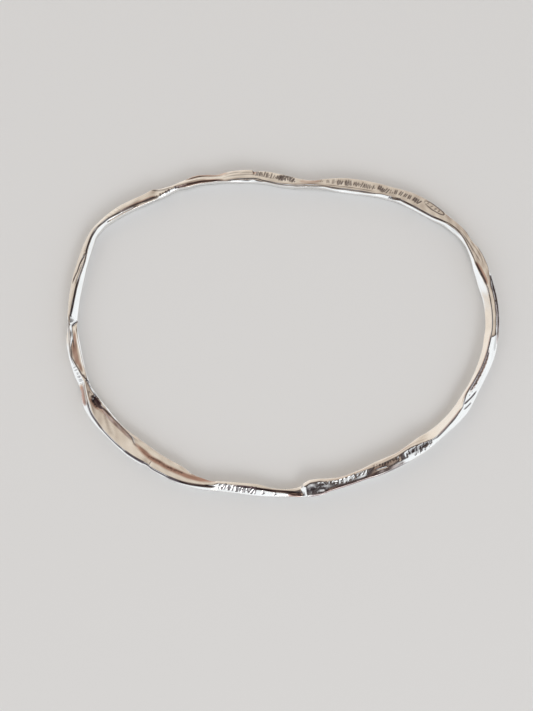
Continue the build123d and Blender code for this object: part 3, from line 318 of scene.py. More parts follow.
# Creases and soft hollows: name; height (below 0 a groove, above 0 a ridge) and half the width in
# millimetres; how dark it is painted, for tarnish in the groove and for painted shade and painted reflections
# of the dark room, where a line of height 0 is painted shade alone; and the turns and shares of half the
# breadth that the line runs through
CREASES = [
    ("grey film of the left side", 0, 0.8, 0.14, [(2, 0.4), (8, 0.38), (16, 0.36), (22, 0.4), (29, 0.44)]),
    ("long crease, left end", -0.04, 0.24, 0.95,
     [(2.2, 0.17), (3.9, 0.05), (6.2, -0.05), (8.6, -0.11), (10.8, -0.14), (13, -0.2), (14.5, -0.25)]),
    ("its thin middle", -0.04, 0.15, 0.9,
     [(12, -0.18), (13, -0.2), (15.2, -0.29), (17.7, -0.35), (19.9, -0.28), (20.8, -0.2)]),
    ("its far end", -0.04, 0.21, 0.95,
     [(19.4, -0.31), (19.9, -0.28), (21.6, -0.13), (24, -0.04), (26.3, 0.02), (28.8, 0.04)]),
    ("short crease", -0.04, 0.19, 0.9,
     [(11.4, 0.33), (12.6, 0.28), (13.8, 0.2), (15.1, 0.08), (17.3, 0.03), (19, -0.08), (20.6, -0.12)]),
    ("fine line between them", -0.02, 0.08, 0.35, [(11, 0.02), (13.5, -0.06), (16, -0.15), (19, -0.2)]),
    ("crease under the broad face", -0.04, 0.17, 0.8,
     [(27, 0.04), (28.8, 0.04), (32.5, -0.12), (35.2, -0.32), (37.8, -0.4), (40, -0.47)]),
    ("file mark", -0.01, 0.07, 0.22, [(32.2, 0.42), (32.7, 0.1), (33, -0.2)]),
    ("second file mark", -0.01, 0.07, 0.26, [(33.3, 0.46), (33.8, 0.1), (34.2, -0.26)]),
    ("third file mark", -0.01, 0.07, 0.22, [(34.5, 0.44), (35, 0.06), (35.4, -0.3)]),
    ("fourth file mark", -0.01, 0.07, 0.24, [(35.8, 0.36), (36.2, 0.02), (36.6, -0.34)]),
    ("brown hollow before the knuckle", -0.04, 0.25, 0.7,
     [(36, -0.36), (37.8, -0.4), (40.5, -0.48), (43.2, -0.53), (46.8, -0.57)]),
    ("dark foot of the knuckle", -0.04, 0.31, 0.85, [(43, -0.55), (45.5, -0.6), (47.6, -0.62)]),
    ("slant after the knuckle", -0.04, 0.14, 0.6, [(46.4, 0.24), (48, 0.02), (50, -0.16), (52.5, -0.24)]),
    ("second slant", -0.04, 0.11, 0.45, [(47.2, 0.02), (49, -0.2), (51, -0.32)]),
    ("hollow under the thin ridge", -0.04, 0.28, 0.6,
     [(53.5, -0.36), (55, -0.44), (58.5, -0.48), (61.5, -0.5), (64.5, -0.6), (68.5, -0.68)]),
    ("valley over the thin ridge", -0.1, 0.28, 0.2, [(57, 0.06), (62, 0.04), (66, -0.12), (69.5, -0.22)]),
    ("line along the far leaf", -0.04, 0.15, 0.45,
     [(69, -0.36), (72.5, -0.24), (77, -0.12), (80, -0.14), (84, -0.28), (88, -0.46)]),
    ("split of the far leaf", -0.04, 0.11, 0.45, [(69.5, -0.14), (72.4, 0.05), (76.2, 0.1), (79.4, 0.08)]),
    ("shade under the far leaf", -0.04, 0.15, 0.75,
     [(71, -0.7), (75, -0.61), (78.8, -0.55), (81, -0.57), (82.7, -0.68), (86.1, -0.8), (89.1, -0.86),
      (94, -0.84)]),
    ("line over the far waist", -0.04, 0.11, 0.55,
     [(92, -0.84), (95.6, -0.74), (100.1, -0.62), (104.4, -0.6), (107, -0.66)]),
    ("thin line along the far panel", -0.03, 0.1, 0.35,
     [(106, -0.5), (113, -0.54), (118, -0.56), (123, -0.58)]),
    ("edge of the far bevel", -0.04, 0.14, 0.8,
     [(105.5, -0.64), (109.9, -0.75), (112.6, -0.77), (117.9, -0.79), (123.1, -0.76)]),
    ("crease at the panel's end", -0.04, 0.18, 0.95,
     [(129.2, -0.62), (131.2, -0.67), (135, -0.75), (139, -0.76), (142.3, -0.69), (144.8, -0.5),
      (147.6, -0.24)]),
    ("rim of the plain oval punch", -0.03, 0.15, 0.85,
     [(137.9, 0.3), (138.5, 0.08), (140.2, -0.07), (142.2, -0.1), (143.8, -0.02), (144.6, 0.14),
      (144.1, 0.32), (142.4, 0.42), (140.6, 0.46), (139, 0.46), (137.9, 0.3), (138.5, 0.08)]),
    ("crease over the shoulder", -0.04, 0.14, 0.95,
     [(146, -0.38), (147.6, -0.24), (150.2, -0.15), (152.8, -0.22), (155.2, -0.33), (159.6, -0.43),
      (161.5, -0.49)]),
    ("valley of the forked ridge", -0.03, 0.17, 0.26,
     [(150.5, 0), (153, -0.06), (155, -0.08), (157.1, -0.08), (159.7, -0.02), (161.6, 0.06)]),
    ("other tine of the fork", -0.03, 0.13, 0.2, [(155, 0.16), (158, 0.28), (160.4, 0.33), (162.4, 0.2)]),
    ("brown foot of the fork", -0.04, 0.29, 0.85,
     [(160.5, -0.46), (162, -0.44), (164.1, -0.34), (166.5, -0.21), (168.6, -0.09)]),
    ("right-hand crease", -0.04, 0.14, 0.85,
     [(166, -0.28), (168.6, -0.12), (170, -0.06), (175.9, -0.03), (180.6, -0.02), (184.2, -0.13),
      (188.5, -0.19), (192.7, -0.24), (195.2, -0.3), (198, -0.35), (200.5, -0.39), (202.2, -0.36),
      (203.7, -0.18), (205.5, 0.04), (207, 0.07)]),
    ("its soft lower end", -0.03, 0.15, 0.5,
     [(205.5, 0.04), (208.4, 0.09), (210.6, 0.12), (213.6, 0.2), (217, 0.29), (219, 0.24)]),
    ("scratched shade beside it", -0.04, 0.22, 0.5,
     [(187.5, -0.06), (190, -0.08), (194, -0.13), (198.7, -0.2), (200.5, -0.26)]),
    ("shade along the lower crease", -0.03, 0.25, 0.34,
     [(208, 0.14), (211, 0.17), (214.5, 0.27), (218, 0.36)]),
    ("dark outer facet", -0.03, 0.36, 0.6,
     [(166.4, 0.5), (170, 0.5), (174, 0.54), (178, 0.54), (181.5, 0.56), (184, 0.6)]),
    ("grey strip of the right end", 0, 0.28, 0.28, [(181.5, 0.4), (184, 0.44), (187, 0.5)]),
    ("cut in the outer face", -0.05, 0.18, 0.9, [(199.2, 0.35), (201.7, 0.2), (204, 0.03), (204.8, -0.02)]),
    ("second cut", -0.04, 0.16, 0.85, [(202.9, 0.47), (204.4, 0.39), (206, 0.3)]),
    ("dark ground of the first patch", 0, 0.55, 0.55,
     [(219, 0.32), (222, 0.18), (224.5, 0.06), (227.6, -0.02)]),
    ("outer edge of the near panel", 0, 0.26, 0.7,
     [(228, 0.74), (237, 0.72), (243, 0.57), (250, 0.61), (255, 0.66), (263, 0.78), (265, 0.7)]),
    ("bright streak of the near panel", -0.05, 0.14, 0, [(234.6, 0.3), (236.6, 0.21), (238.8, 0.13)]),
    ("shade of the near panel's end", 0, 0.75, 0.42, [(255.6, 0.1), (258, 0.1), (262.4, 0.14)]),
    ("its darkest part", 0, 0.6, 0.75, [(259.6, 0.05), (261, 0.08), (262.8, 0.12)]),
    ("line under the near waist", -0.04, 0.27, 0.95,
     [(263.8, 0.34), (266.4, 0.18), (268.8, 0.04), (271.4, -0.02), (273.9, -0.04), (276.4, -0.08),
      (279.1, -0.12), (284.1, -0.16), (287, -0.18)]),
    ("thick line inside the outer rim", -0.04, 0.32, 0.95,
     [(292.2, 0.1), (293.4, 0.22), (296.8, 0.34), (299.9, 0.5), (303.2, 0.68), (306.7, 0.76),
      (308.4, 0.77)]),
    ("thin line inside it", -0.04, 0.19, 0.9,
     [(306.7, 0.76), (310.2, 0.79), (312.1, 0.79), (313.8, 0.7), (315, 0.72)]),
    ("thick line past the notch", -0.04, 0.29, 0.95,
     [(313.8, 0.7), (316, 0.79), (318.7, 0.86), (321.9, 0.92)]),
    ("thin line after it", -0.04, 0.14, 0.9, [(320.5, 0.9), (324.8, 0.89), (328.5, 0.87), (331.5, 0.82)]),
    ("thick line up to the crossing", -0.04, 0.25, 0.9,
     [(329, 0.86), (331.5, 0.82), (334.4, 0.79), (336.7, 0.66), (338.5, 0.46)]),
    ("thin line up to the crossing", -0.04, 0.11, 0.6,
     [(336.2, 0.62), (338.5, 0.42), (341, 0.2), (343.6, -0.06)]),
    ("crack at the notch", -0.04, 0.08, 0.7, [(313.1, 0.7), (313.3, 0.45), (313.2, 0.2)]),
    ("valley of the broad leaf", -0.018, 0.5, 0.1,
     [(292.5, -0.34), (297, -0.26), (300.7, -0.12), (303.6, -0.08), (308.4, -0.06), (311, -0.06),
      (313.7, -0.03), (316, -0.14), (318.5, -0.24), (321, -0.34)]),
    ("wrinkle in it", -0.03, 0.12, 0.45, [(302, -0.18), (305, -0.14), (308, -0.06), (311, -0.1), (314, 0)]),
    ("second wrinkle", -0.03, 0.11, 0.55, [(308.5, -0.16), (311.5, -0.16), (314.5, -0.06), (317.5, -0.16)]),
    ("third wrinkle", -0.03, 0.1, 0.45, [(313, -0.14), (316, -0.22), (319, -0.3)]),
    ("wavy fold", -0.04, 0.15, 0.9,
     [(318.8, -0.2), (320.6, -0.27), (321.8, -0.5), (323, -0.61), (325.4, -0.67), (328, -0.68),
      (330.6, -0.64), (332, -0.59), (333.4, -0.53), (335, -0.34), (336, -0.2)]),
    ("thick start of the wavy fold", -0.04, 0.27, 0.92,
     [(336.8, -0.3), (335.2, -0.36), (333.6, -0.52), (331.8, -0.6), (330.6, -0.63)]),
    ("shade outside it", -0.01, 0.42, 0.1,
     [(320.5, -0.14), (323, -0.4), (326, -0.46), (330, -0.36), (334, -0.2), (336.5, -0.1)]),
    ("soft slant of the hollow", -0.04, 0.34, 0.16,
     [(332.5, -0.25), (330.5, -0.06), (328.7, 0.2), (326.1, 0.52)]),
    ("pit of the crossing", -0.1, 0.42, 1, [(338.8, -0.24), (337.7, -0.36), (336.5, -0.44), (335.2, -0.46)]),
    ("its lower lobe", -0.06, 0.3, 0.9, [(338.2, -0.08), (336.8, -0.08), (335.4, -0.2), (334, -0.42)]),
    ("middle of the pit", -0.06, 0.32, 0.95, [(338.2, -0.2), (337, -0.24), (335.6, -0.34), (334.4, -0.46)]),
    ("ridge over the crossing", 0.02, 0.2, 0,
     [(333.5, 0.6), (335.1, 0.52), (336.8, 0.38), (338.6, 0.26), (340.5, 0.11), (342.4, -0.02), (344, -0.18),
      (347, -0.38), (351, -0.48)]),
    ("shade beside the crossing's ridge", -0.02, 0.28, 0.35,
     [(343.2, 0.12), (340.9, 0.34), (338.7, 0.6), (337.3, 0.74)]),
    ("curved scratch", -0.03, 0.08, 0.5, [(339.6, -0.02), (340.3, -0.1), (340, -0.2), (339.3, -0.26)]),
    ("line across the crossing", -0.04, 0.17, 0.9,
     [(342.6, -0.5), (344.2, -0.3), (345.3, -0.14), (346.6, 0)]),
    ("dark edge of the crossing's facet", -0.04, 0.17, 0.75,
     [(344.8, -0.12), (347, 0), (348.9, 0.2), (350.6, 0.36), (352.2, 0.5)]),
    ("dark line of the left end", -0.04, 0.14, 0.75,
     [(348.5, 0.36), (351, 0.5), (354, 0.44), (358, 0.34), (361, 0.32), (363, 0.28)]),
    ("broken line beside it", -0.04, 0.11, 0.75,
     [(353.5, -0.02), (356.5, -0.03), (358.5, -0.02), (359.6, 0)]),
    ("dark slant of the left end", -0.04, 0.15, 0.9,
     [(359.2, 0), (360, -0.03), (360.4, -0.14), (360.7, -0.26), (361.2, -0.5), (361.4, -0.62)]),
]

# Brown tints, partly stains and partly painted shade and painted warm reflections: name, half the width in
# millimetres, strength, and the line as above
BROWN_STAINS_AND_SHADES = [
    ("lip before the knuckle", 0.22, 0.25, [(33, -0.5), (38, -0.72), (44, -0.78)]),
    ("broad face before the knuckle", 0.3, 0.55, [(36, -0.3), (40, -0.36), (44.5, -0.4), (47, -0.44)]),
    ("under the thin ridge", 0.4, 0.85, [(53, -0.34), (57, -0.44), (61.5, -0.46), (65, -0.56), (69, -0.64)]),
    ("over the thin ridge", 0.35, 0.55, [(57, 0.1), (62, 0.18), (67, 0.02), (71, 0.1)]),
    ("nick of the far leaf", 0.35, 0.75, [(79.2, 0.02), (79.9, 0.16), (80.4, 0.34)]),
    ("far waist", 0.4, 0.5, [(96, -0.26), (100, -0.3), (104, -0.1)]),
    ("foot of the fork", 0.4, 0.8, [(161, -0.4), (163.6, -0.24), (166, -0.1), (168.4, 0)]),
    ("outer facet", 0.3, 0.5, [(167.5, 0.44), (172, 0.5), (180, 0.54), (185, 0.6)]),
    ("lip of the right side", 0.18, 0.55,
     [(182, -0.16), (188, -0.24), (195, -0.34), (202, -0.46), (205, -0.2)]),
    ("scratched shade", 0.34, 0.6, [(187, -0.04), (192, -0.04), (198, -0.12), (201, -0.2)]),
    ("lower crease", 0.26, 0.6, [(206, 0.04), (212, 0.14), (217, 0.28)]),
    ("lip of the near panel", 0.18, 0.3,
     [(218, 0.02), (224, -0.5), (232, -0.44), (242, -0.36), (252, -0.32), (259, -0.64)]),
    ("lilac half of the near panel", 0.45, 0.55,
     [(229, 0.6), (234, 0.5), (240, 0.44), (246, 0.44), (252, 0.5), (258, 0.64), (262, 0.66)]),
    ("inner half of the near panel", 0.3, 0.35, [(230.5, 0.05), (234, 0), (238, -0.05), (241, -0.08)]),
    ("near waist", 0.5, 0.9, [(264.2, 0.5), (266.4, 0.42), (269, 0.32)]),
    ("dark side of the near leaf", 0.22, 0.7,
     [(266, 0.16), (270, 0.02), (275, -0.02), (281, -0.12), (288, -0.16)]),
    ("valley of the broad leaf", 0.62, 0.95,
     [(292.5, -0.3), (297, -0.24), (300.7, -0.14), (304, -0.1), (308.4, -0.06), (311, -0.06), (313.7, -0.03),
      (316, -0.12), (318.5, -0.22), (320.8, -0.32)]),
    ("inner lip of the near waist", 0.28, 0.65, [(293, -0.4), (297, -0.42), (301, -0.4)]),
    ("slope before the crossing", 0.52, 0.6,
     [(321.5, -0.42), (325, -0.52), (330, -0.46), (333.5, -0.32), (337.6, 0)]),
    ("crossing", 0.36, 0.8, [(338.8, 0.1), (337.4, 0.12), (336, 0.08), (334.5, -0.08)]),
    ("outer strip of the crossing", 0.52, 0.85, [(343.2, 0.36), (341, 0.52), (339.2, 0.72), (337.4, 0.88)]),
    ("small hollow face", 0.42, 0.75,
     [(358.6, -0.2), (356, -0.18), (353.5, -0.12), (350.5, -0.08), (348, -0.16), (346.4, -0.26)]),
    ("its wide part", 0.45, 0.75, [(355.2, 0.02), (352.5, 0.08), (350, 0.04), (348.5, -0.04)]),
]

# A line's points stand this close.
LINE_STEP = 0.00005


def smooth_line(places_along):
    """A close row of points in plan along a smooth line through places given by turn and share."""
    knots = on_band(*np.array(places_along, float).T)
    knots = np.concatenate([[2 * knots[0] - knots[1]], knots, [2 * knots[-1] - knots[-2]]])
    points = []
    for a, b, c, d in zip(knots, knots[1:], knots[2:], knots[3:]):
        t = np.linspace(0, 1, 2 + int(np.linalg.norm(c - b) / LINE_STEP))[:-1, None]
        points.append(b + 0.5 * t * (c - a + t * (2 * a - 5 * b + 4 * c - d + t * (3 * (b - c) + d - a))))
    return np.concatenate(points + [knots[-2:-1]])


# A line runs in and out over its first and last sixth, where it is down to a share of its width.
RUN_IN = 1 / 6
END_WIDTH = 0.4
TURNS_BESIDE = 3


def beside_line(places_along, half_width):
    """The rows of the skin near a line, and how strongly each of their points lies under it, from 0 to 1."""
    line = smooth_line(places_along)
    turns_along = [turn for turn, share in places_along]
    first, last = min(turns_along) - TURNS_BESIDE, max(turns_along) + TURNS_BESIDE
    near = np.nonzero(np.mod(stations - first, 360) < last - first)[0]
    gaps = np.linalg.norm(skin[near, :, :2].reshape(-1, 1, 2) - line[None], axis=-1)
    closest = gaps.argmin(1)
    gap = gaps[np.arange(len(gaps)), closest].reshape(len(near), -1)
    along = (closest / (len(line) - 1)).reshape(len(near), -1)
    fade = np.clip(np.minimum(along, 1 - along) / RUN_IN, 0, 1) ** 0.5
    width = half_width * (END_WIDTH + (1 - END_WIDTH) * fade)
    return near, np.clip(1 - (gap / width) ** 2, 0, 1) ** 2 * fade * on_top[near]


# The painted darkening and the brown tint are full over more of a line's width than its depth is.
DARKENING_SPREAD, BROWN_SPREAD = 1.4, 1.3
tarnish = np.zeros(skin.shape[:2])
brown = np.zeros(skin.shape[:2])
rise = np.zeros(skin.shape[:2])
# Painted shade: each crease line darkens the colour by its dark value, for tarnish in the groove and for
# shade and reflections of the dark room; the lines of height 0 are painted shade alone
for name, height, half_width, dark, places_along in CREASES:
    near, profile = beside_line(places_along, half_width / 1000)
    rise[near] += height / 1000 * profile
    tarnish[near] = np.maximum(tarnish[near], dark * np.minimum(DARKENING_SPREAD * profile, 1))
# Painted shade and painted warm reflections, with some brown stain: each brown line tints the colour by its
# strength
for name, half_width, strength, places_along in BROWN_STAINS_AND_SHADES:
    near, profile = beside_line(places_along, half_width / 1000)
    brown[near] = np.maximum(brown[near], strength * np.minimum(BROWN_SPREAD * profile, 1))

# Hammer blows left the faces slightly uneven: long shallow waves, given by their length along the band,
# their breadth across it, their height and where they start
WAVES = [(0.0021, 0.0016, 0.000005, 0.4), (0.0034, -0.0021, 0.000007, 1.9), (0.0057, 0.0040, 0.000009, 3.1)]
steps_along = np.linalg.norm(np.diff(middle(stations), axis=0), axis=1)
along_band = np.concatenate([[0], np.cumsum(steps_along)])[:, None]
for length, breadth, height, start in WAVES:
    rise += height * on_top * np.sin(2 * math.pi * (along_band / length + outline[..., 0] / breadth) + start)
skin = skin + normals * rise[..., None]

# The skin as a mesh, with a UV map in metres: along the band, and round its section
rows, columns = skin.shape[:2]
index = np.arange(rows * columns).reshape(rows, columns)
next_row, next_column = np.roll(index, -1, axis=0), np.roll(index, -1, axis=1)
quads = np.stack([index, next_row, np.roll(next_row, -1, axis=1), next_column], -1).reshape(-1, 4)
mesh = bpy.data.meshes.new("band")
mesh.from_pydata(skin.reshape(-1, 3).tolist(), [], quads.tolist())
mesh.polygons.foreach_set("use_smooth", np.ones(len(quads), bool))
run = np.concatenate([[0], np.cumsum(np.linalg.norm(np.roll(skin, -1, axis=0) - skin, axis=-1).mean(1))])
girth = np.concatenate([[0], np.cumsum(np.linalg.norm(np.roll(skin, -1, axis=1) - skin, axis=-1).mean(0))])
u, v = np.meshgrid(run[:-1], girth[:-1], indexing="ij")
u_next, v_next = np.meshgrid(run[1:], girth[1:], indexing="ij")
uv = np.stack([u, v, u_next, v, u_next, v_next, u, v_next], -1).reshape(-1)
mesh.uv_layers.new(name="along_band").data.foreach_set("uv", uv.astype(np.float32))
for name, mask in (("tarnish", tarnish), ("brown", brown)):
    attribute = mesh.attributes.new(name, "FLOAT", "POINT")
    attribute.data.foreach_set("value", mask.reshape(-1).astype(np.float32))
mesh.validate()
band = bpy.data.objects.new("band", mesh)
bpy.context.scene.collection.objects.link(band)

# Polished sterling silver: fine handling scratches along the band, a soft film on the faces, brown stains
# and black tarnish left in the creases and marks, and painted shade: the creases, lines and hollows of the
# tables above are darkened and browned for the shade and reflections of the dark room and of warm surfaces
CLEAN, FILMED = (0.93, 0.91, 0.88, 1), (0.76, 0.73, 0.69, 1)
STAIN_AND_SHADE_BROWN, TARNISH_AND_SHADE_DARK = (0.50, 0.31, 0.25, 1), (0.055, 0.030, 0.038, 1)
silver = bpy.data.materials.new("polished_silver")
silver.use_nodes = True
metal = silver.node_tree


def add_node(tree, kind, inputs=None, **settings):
    """Adds a node to a tree, with its settings; each input takes a value or the output of another node."""
    node = tree.nodes.new(kind)
    for setting, value in settings.items():
        setattr(node, setting, value)
    for socket, value in (inputs or {}).items():
        if isinstance(value, bpy.types.NodeSocket):
            tree.links.new(value, node.inputs[socket])
        else:
            node.inputs[socket].default_value = value
    return node


band_map = add_node(metal, "ShaderNodeUVMap", uv_map="along_band").outputs[0]


def band_noise(along, round_it, detail):
    """Noise drawn out along the band: blotches to the metre along it and round it."""
    stretched = add_node(metal, "ShaderNodeMapping", {"Vector": band_map, "Scale": (along, round_it, 1)})
    blotches = {"Vector": stretched.outputs[0], "Scale": 1.0, "Detail": detail}
    return add_node(metal, "ShaderNodeTexNoise", blotches).outputs["Fac"]


def spread_to(output, low, high, new_low, new_high):
    """Maps a range of a value to another, held at the ends."""
    ends = {"Value": output, "From Min": low, "From Max": high, "To Min": new_low, "To Max": new_high}
    return add_node(metal, "ShaderNodeMapRange", ends).outputs[0]


def tint(mask, under, colour):
    """Mixes a colour over another by a mask."""
    layers = {"Factor": mask, "A": under, "B": colour}
    return add_node(metal, "ShaderNodeMix", layers, data_type="RGBA").outputs["Result"]


film = spread_to(band_noise(220, 1800, 3), 0.42, 0.75, 0, 0.55)
scratches = band_noise(260, 14000, 2)
brown_stain_and_shade = add_node(metal, "ShaderNodeAttribute", attribute_name="brown")
tarnish_and_shade_mask = add_node(metal, "ShaderNodeAttribute", attribute_name="tarnish")
colour = tint(film, CLEAN, FILMED)
# Painted shade and painted reflections: the brown tint and the dark of tarnish and shade, from the tables
# above and the marks
colour = tint(brown_stain_and_shade.outputs["Fac"], colour, STAIN_AND_SHADE_BROWN)
colour = tint(tarnish_and_shade_mask.outputs["Fac"], colour, TARNISH_AND_SHADE_DARK)
relief = add_node(metal, "ShaderNodeBump", {"Strength": 0.25, "Distance": 0.000004, "Height": scratches})
shader = metal.nodes["Principled BSDF"]
shader.inputs["Metallic"].default_value = 1.0
metal.links.new(colour, shader.inputs["Base Color"])
metal.links.new(spread_to(scratches, 0.35, 0.70, 0.09, 0.21), shader.inputs["Roughness"])
metal.links.new(relief.outputs[0], shader.inputs["Normal"])
mesh.materials.append(silver)

# Punches that the marks were struck with: straight strokes in plan, each from one x and y to another, within
# a square about 1 across. None stands for a letter.
PUNCHES = [
    ("slanted bars", [(-0.34, -0.5, -0.12, 0.5), (0.12, -0.5, 0.34, 0.5)]),
    ("leaning bar", [(-0.1, -0.5, 0.14, 0.5)]),
    ("three dashes", [(-0.32, -0.42, -0.32, 0.3), (0, -0.3, 0, 0.46), (0.32, -0.42, 0.32, 0.3)]),
    ("three dots", [(-0.28, -0.28, -0.24, -0.22), (0.26, -0.28, 0.3, -0.22), (-0.02, 0.26, 0.02, 0.32)]),
    ("two bars and a dot", [(-0.3, -0.46, -0.24, 0.44), (0, -0.4, 0.06, 0.48), (0.36, -0.04, 0.38, 0.04)]),
    ("bar and dot", [(-0.22, -0.45, -0.14, 0.45), (0.24, -0.06, 0.28, 0.02)]),
]
punches = bpy.data.collections.new("punches")
for name, strokes in PUNCHES:
    ends = [(x, y, 0) for stroke in strokes for x, y in (stroke[:2], stroke[2:])]
    punch_mesh = bpy.data.meshes.new(name)
    punch_mesh.from_pydata(ends, [(first, first + 1) for first in range(0, len(ends), 2)], [])
    punches.objects.link(bpy.data.objects.new(name, punch_mesh))

# One set of nodes strikes a row of marks: punches along a path in plan press the top of the band down, and
# the points that they press turn dark
striking = bpy.data.node_groups.new("strike_row", "GeometryNodeTree")
IN_MILLIMETRES = ("Spacing", "Size", "Stroke", "Depth", "Scatter")
KINDS = {"Geometry": "Geometry", "Path": "Object", "Punches": "Collection", "Seed": "Int"}
KINDS.update({name: "Float" for name in IN_MILLIMETRES + ("Tarnish",)})
identifiers = {}
for name, kind in KINDS.items():
    socket = striking.interface.new_socket(name, in_out="INPUT", socket_type="NodeSocket" + kind)
    identifiers[name] = socket.identifier
striking.interface.new_socket("Geometry", in_out="OUTPUT", socket_type="NodeSocketGeometry")


def strike(kind, inputs=None, **settings):
    """Adds a node to the tree that strikes the marks, and gives its outputs."""
    return add_node(striking, kind, inputs, **settings).outputs


given = strike("NodeGroupInput")


def draw(kind, low, high):
    """A random value of a kind for each spot of a row, from the row's seed."""
    lowest, highest, result = {"FLOAT_VECTOR": (0, 1, 0), "FLOAT": (2, 3, 1), "INT": (4, 5, 2)}[kind]
    ends = {lowest: low, highest: high, "Seed": given["Seed"]}
    return strike("FunctionNodeRandomValue", ends, data_type=kind)[result]


def product(one, other):
    """Two values of the striking tree multiplied."""
    return strike("ShaderNodeMath", {0: one, 1: other}, operation="MULTIPLY")[0]


# Spots along the path, a little off it
TILT, SMALLER, LARGER = 0.35, 0.75, 1.15
path = strike("GeometryNodeObjectInfo", {"Object": given["Path"]}, transform_space="RELATIVE")
path_curve = strike("GeometryNodeMeshToCurve", {"Mesh": path["Geometry"]})
along_path = {"Curve": path_curve[0], "Length": given["Spacing"]}
spots = strike("GeometryNodeCurveToPoints", along_path, mode="LENGTH")
strays = draw("FLOAT_VECTOR", (-1, -1, 0), (1, 1, 0))
strays = strike("ShaderNodeVectorMath", {0: strays, "Scale": given["Scatter"]}, operation="SCALE")
spread = strike("GeometryNodeSetPosition", {"Geometry": spots["Points"], "Offset": strays[0]})

# A punch on each spot, of any kind, a little tilted, larger or smaller
size = product(draw("FLOAT", SMALLER, LARGER), given["Size"])
tilt = strike("FunctionNodeEulerToRotation", {0: draw("FLOAT_VECTOR", (0, 0, -TILT), (0, 0, TILT))})
facing = strike("FunctionNodeAlignRotationToVector", {"Vector": spots["Tangent"]}, axis="X", pivot_axis="Z")
facing = strike("FunctionNodeRotateRotation", {0: facing[0], 1: tilt[0]}, rotation_space="LOCAL")
separate = {"Collection": given["Punches"], "Separate Children": True, "Reset Children": True}
kinds = strike("GeometryNodeCollectionInfo", separate, transform_space="RELATIVE")
row = strike("GeometryNodeInstanceOnPoints", {
    "Points": spread["Geometry"], "Instance": kinds[0], "Pick Instance": True,
    "Instance Index": draw("INT", 0, len(PUNCHES) - 1), "Rotation": facing[0], "Scale": size,
})
strokes = strike("GeometryNodeRealizeInstances", {0: row[0]})

# How hard each point of the band is pressed: by its distance in plan from a stroke, and only on the faces
# that look upwards
STEEP_FOR_MARKS, LEVEL_FOR_MARKS = 0.4, 0.7
place = strike("ShaderNodeSeparateXYZ", {0: strike("GeometryNodeInputPosition")[0]})
plan_place = strike("ShaderNodeCombineXYZ", {"X": place["X"], "Y": place["Y"]})
nearest = {0: strokes[0], "Sample Position": plan_place[0]}
nearest = strike("GeometryNodeProximity", nearest, target_element="EDGES")["Distance"]
pressed = {"Value": nearest, "From Min": 0.0, "From Max": given["Stroke"], "To Min": 1.0, "To Max": 0.0}
pressed = strike("ShaderNodeMapRange", pressed, interpolation_type="SMOOTHSTEP")
normal = strike("GeometryNodeInputNormal")[0]
facing_up = strike("ShaderNodeSeparateXYZ", {0: normal})["Z"]
upper = {"Value": facing_up, "From Min": STEEP_FOR_MARKS, "From Max": LEVEL_FOR_MARKS}
upper = strike("ShaderNodeMapRange", upper, interpolation_type="SMOOTHSTEP")
press = product(pressed[0], upper[0])

# The pressed points turn dark and go in
earlier = strike("GeometryNodeInputNamedAttribute", {"Name": "tarnish"}, data_type="FLOAT")
darker = {0: product(press, given["Tarnish"]), 1: earlier[0]}
darker = strike("ShaderNodeMath", darker, operation="MAXIMUM")
kept = {"Geometry": given["Geometry"], "Name": "tarnish", "Value": darker[0]}
kept = strike("GeometryNodeStoreNamedAttribute", kept, data_type="FLOAT", domain="POINT")
down = product(product(press, given["Depth"]), -1)
inward = strike("ShaderNodeVectorMath", {0: normal, "Scale": down}, operation="SCALE")
struck = strike("GeometryNodeSetPosition", {"Geometry": kept[0], "Offset": inward[0]})
whole = strike("GeometryNodeRealizeInstances", {0: struck[0]})
coated = strike("GeometryNodeSetMaterial", {0: whole[0], "Material": silver})
strike("NodeGroupOutput", {0: coated[0]})

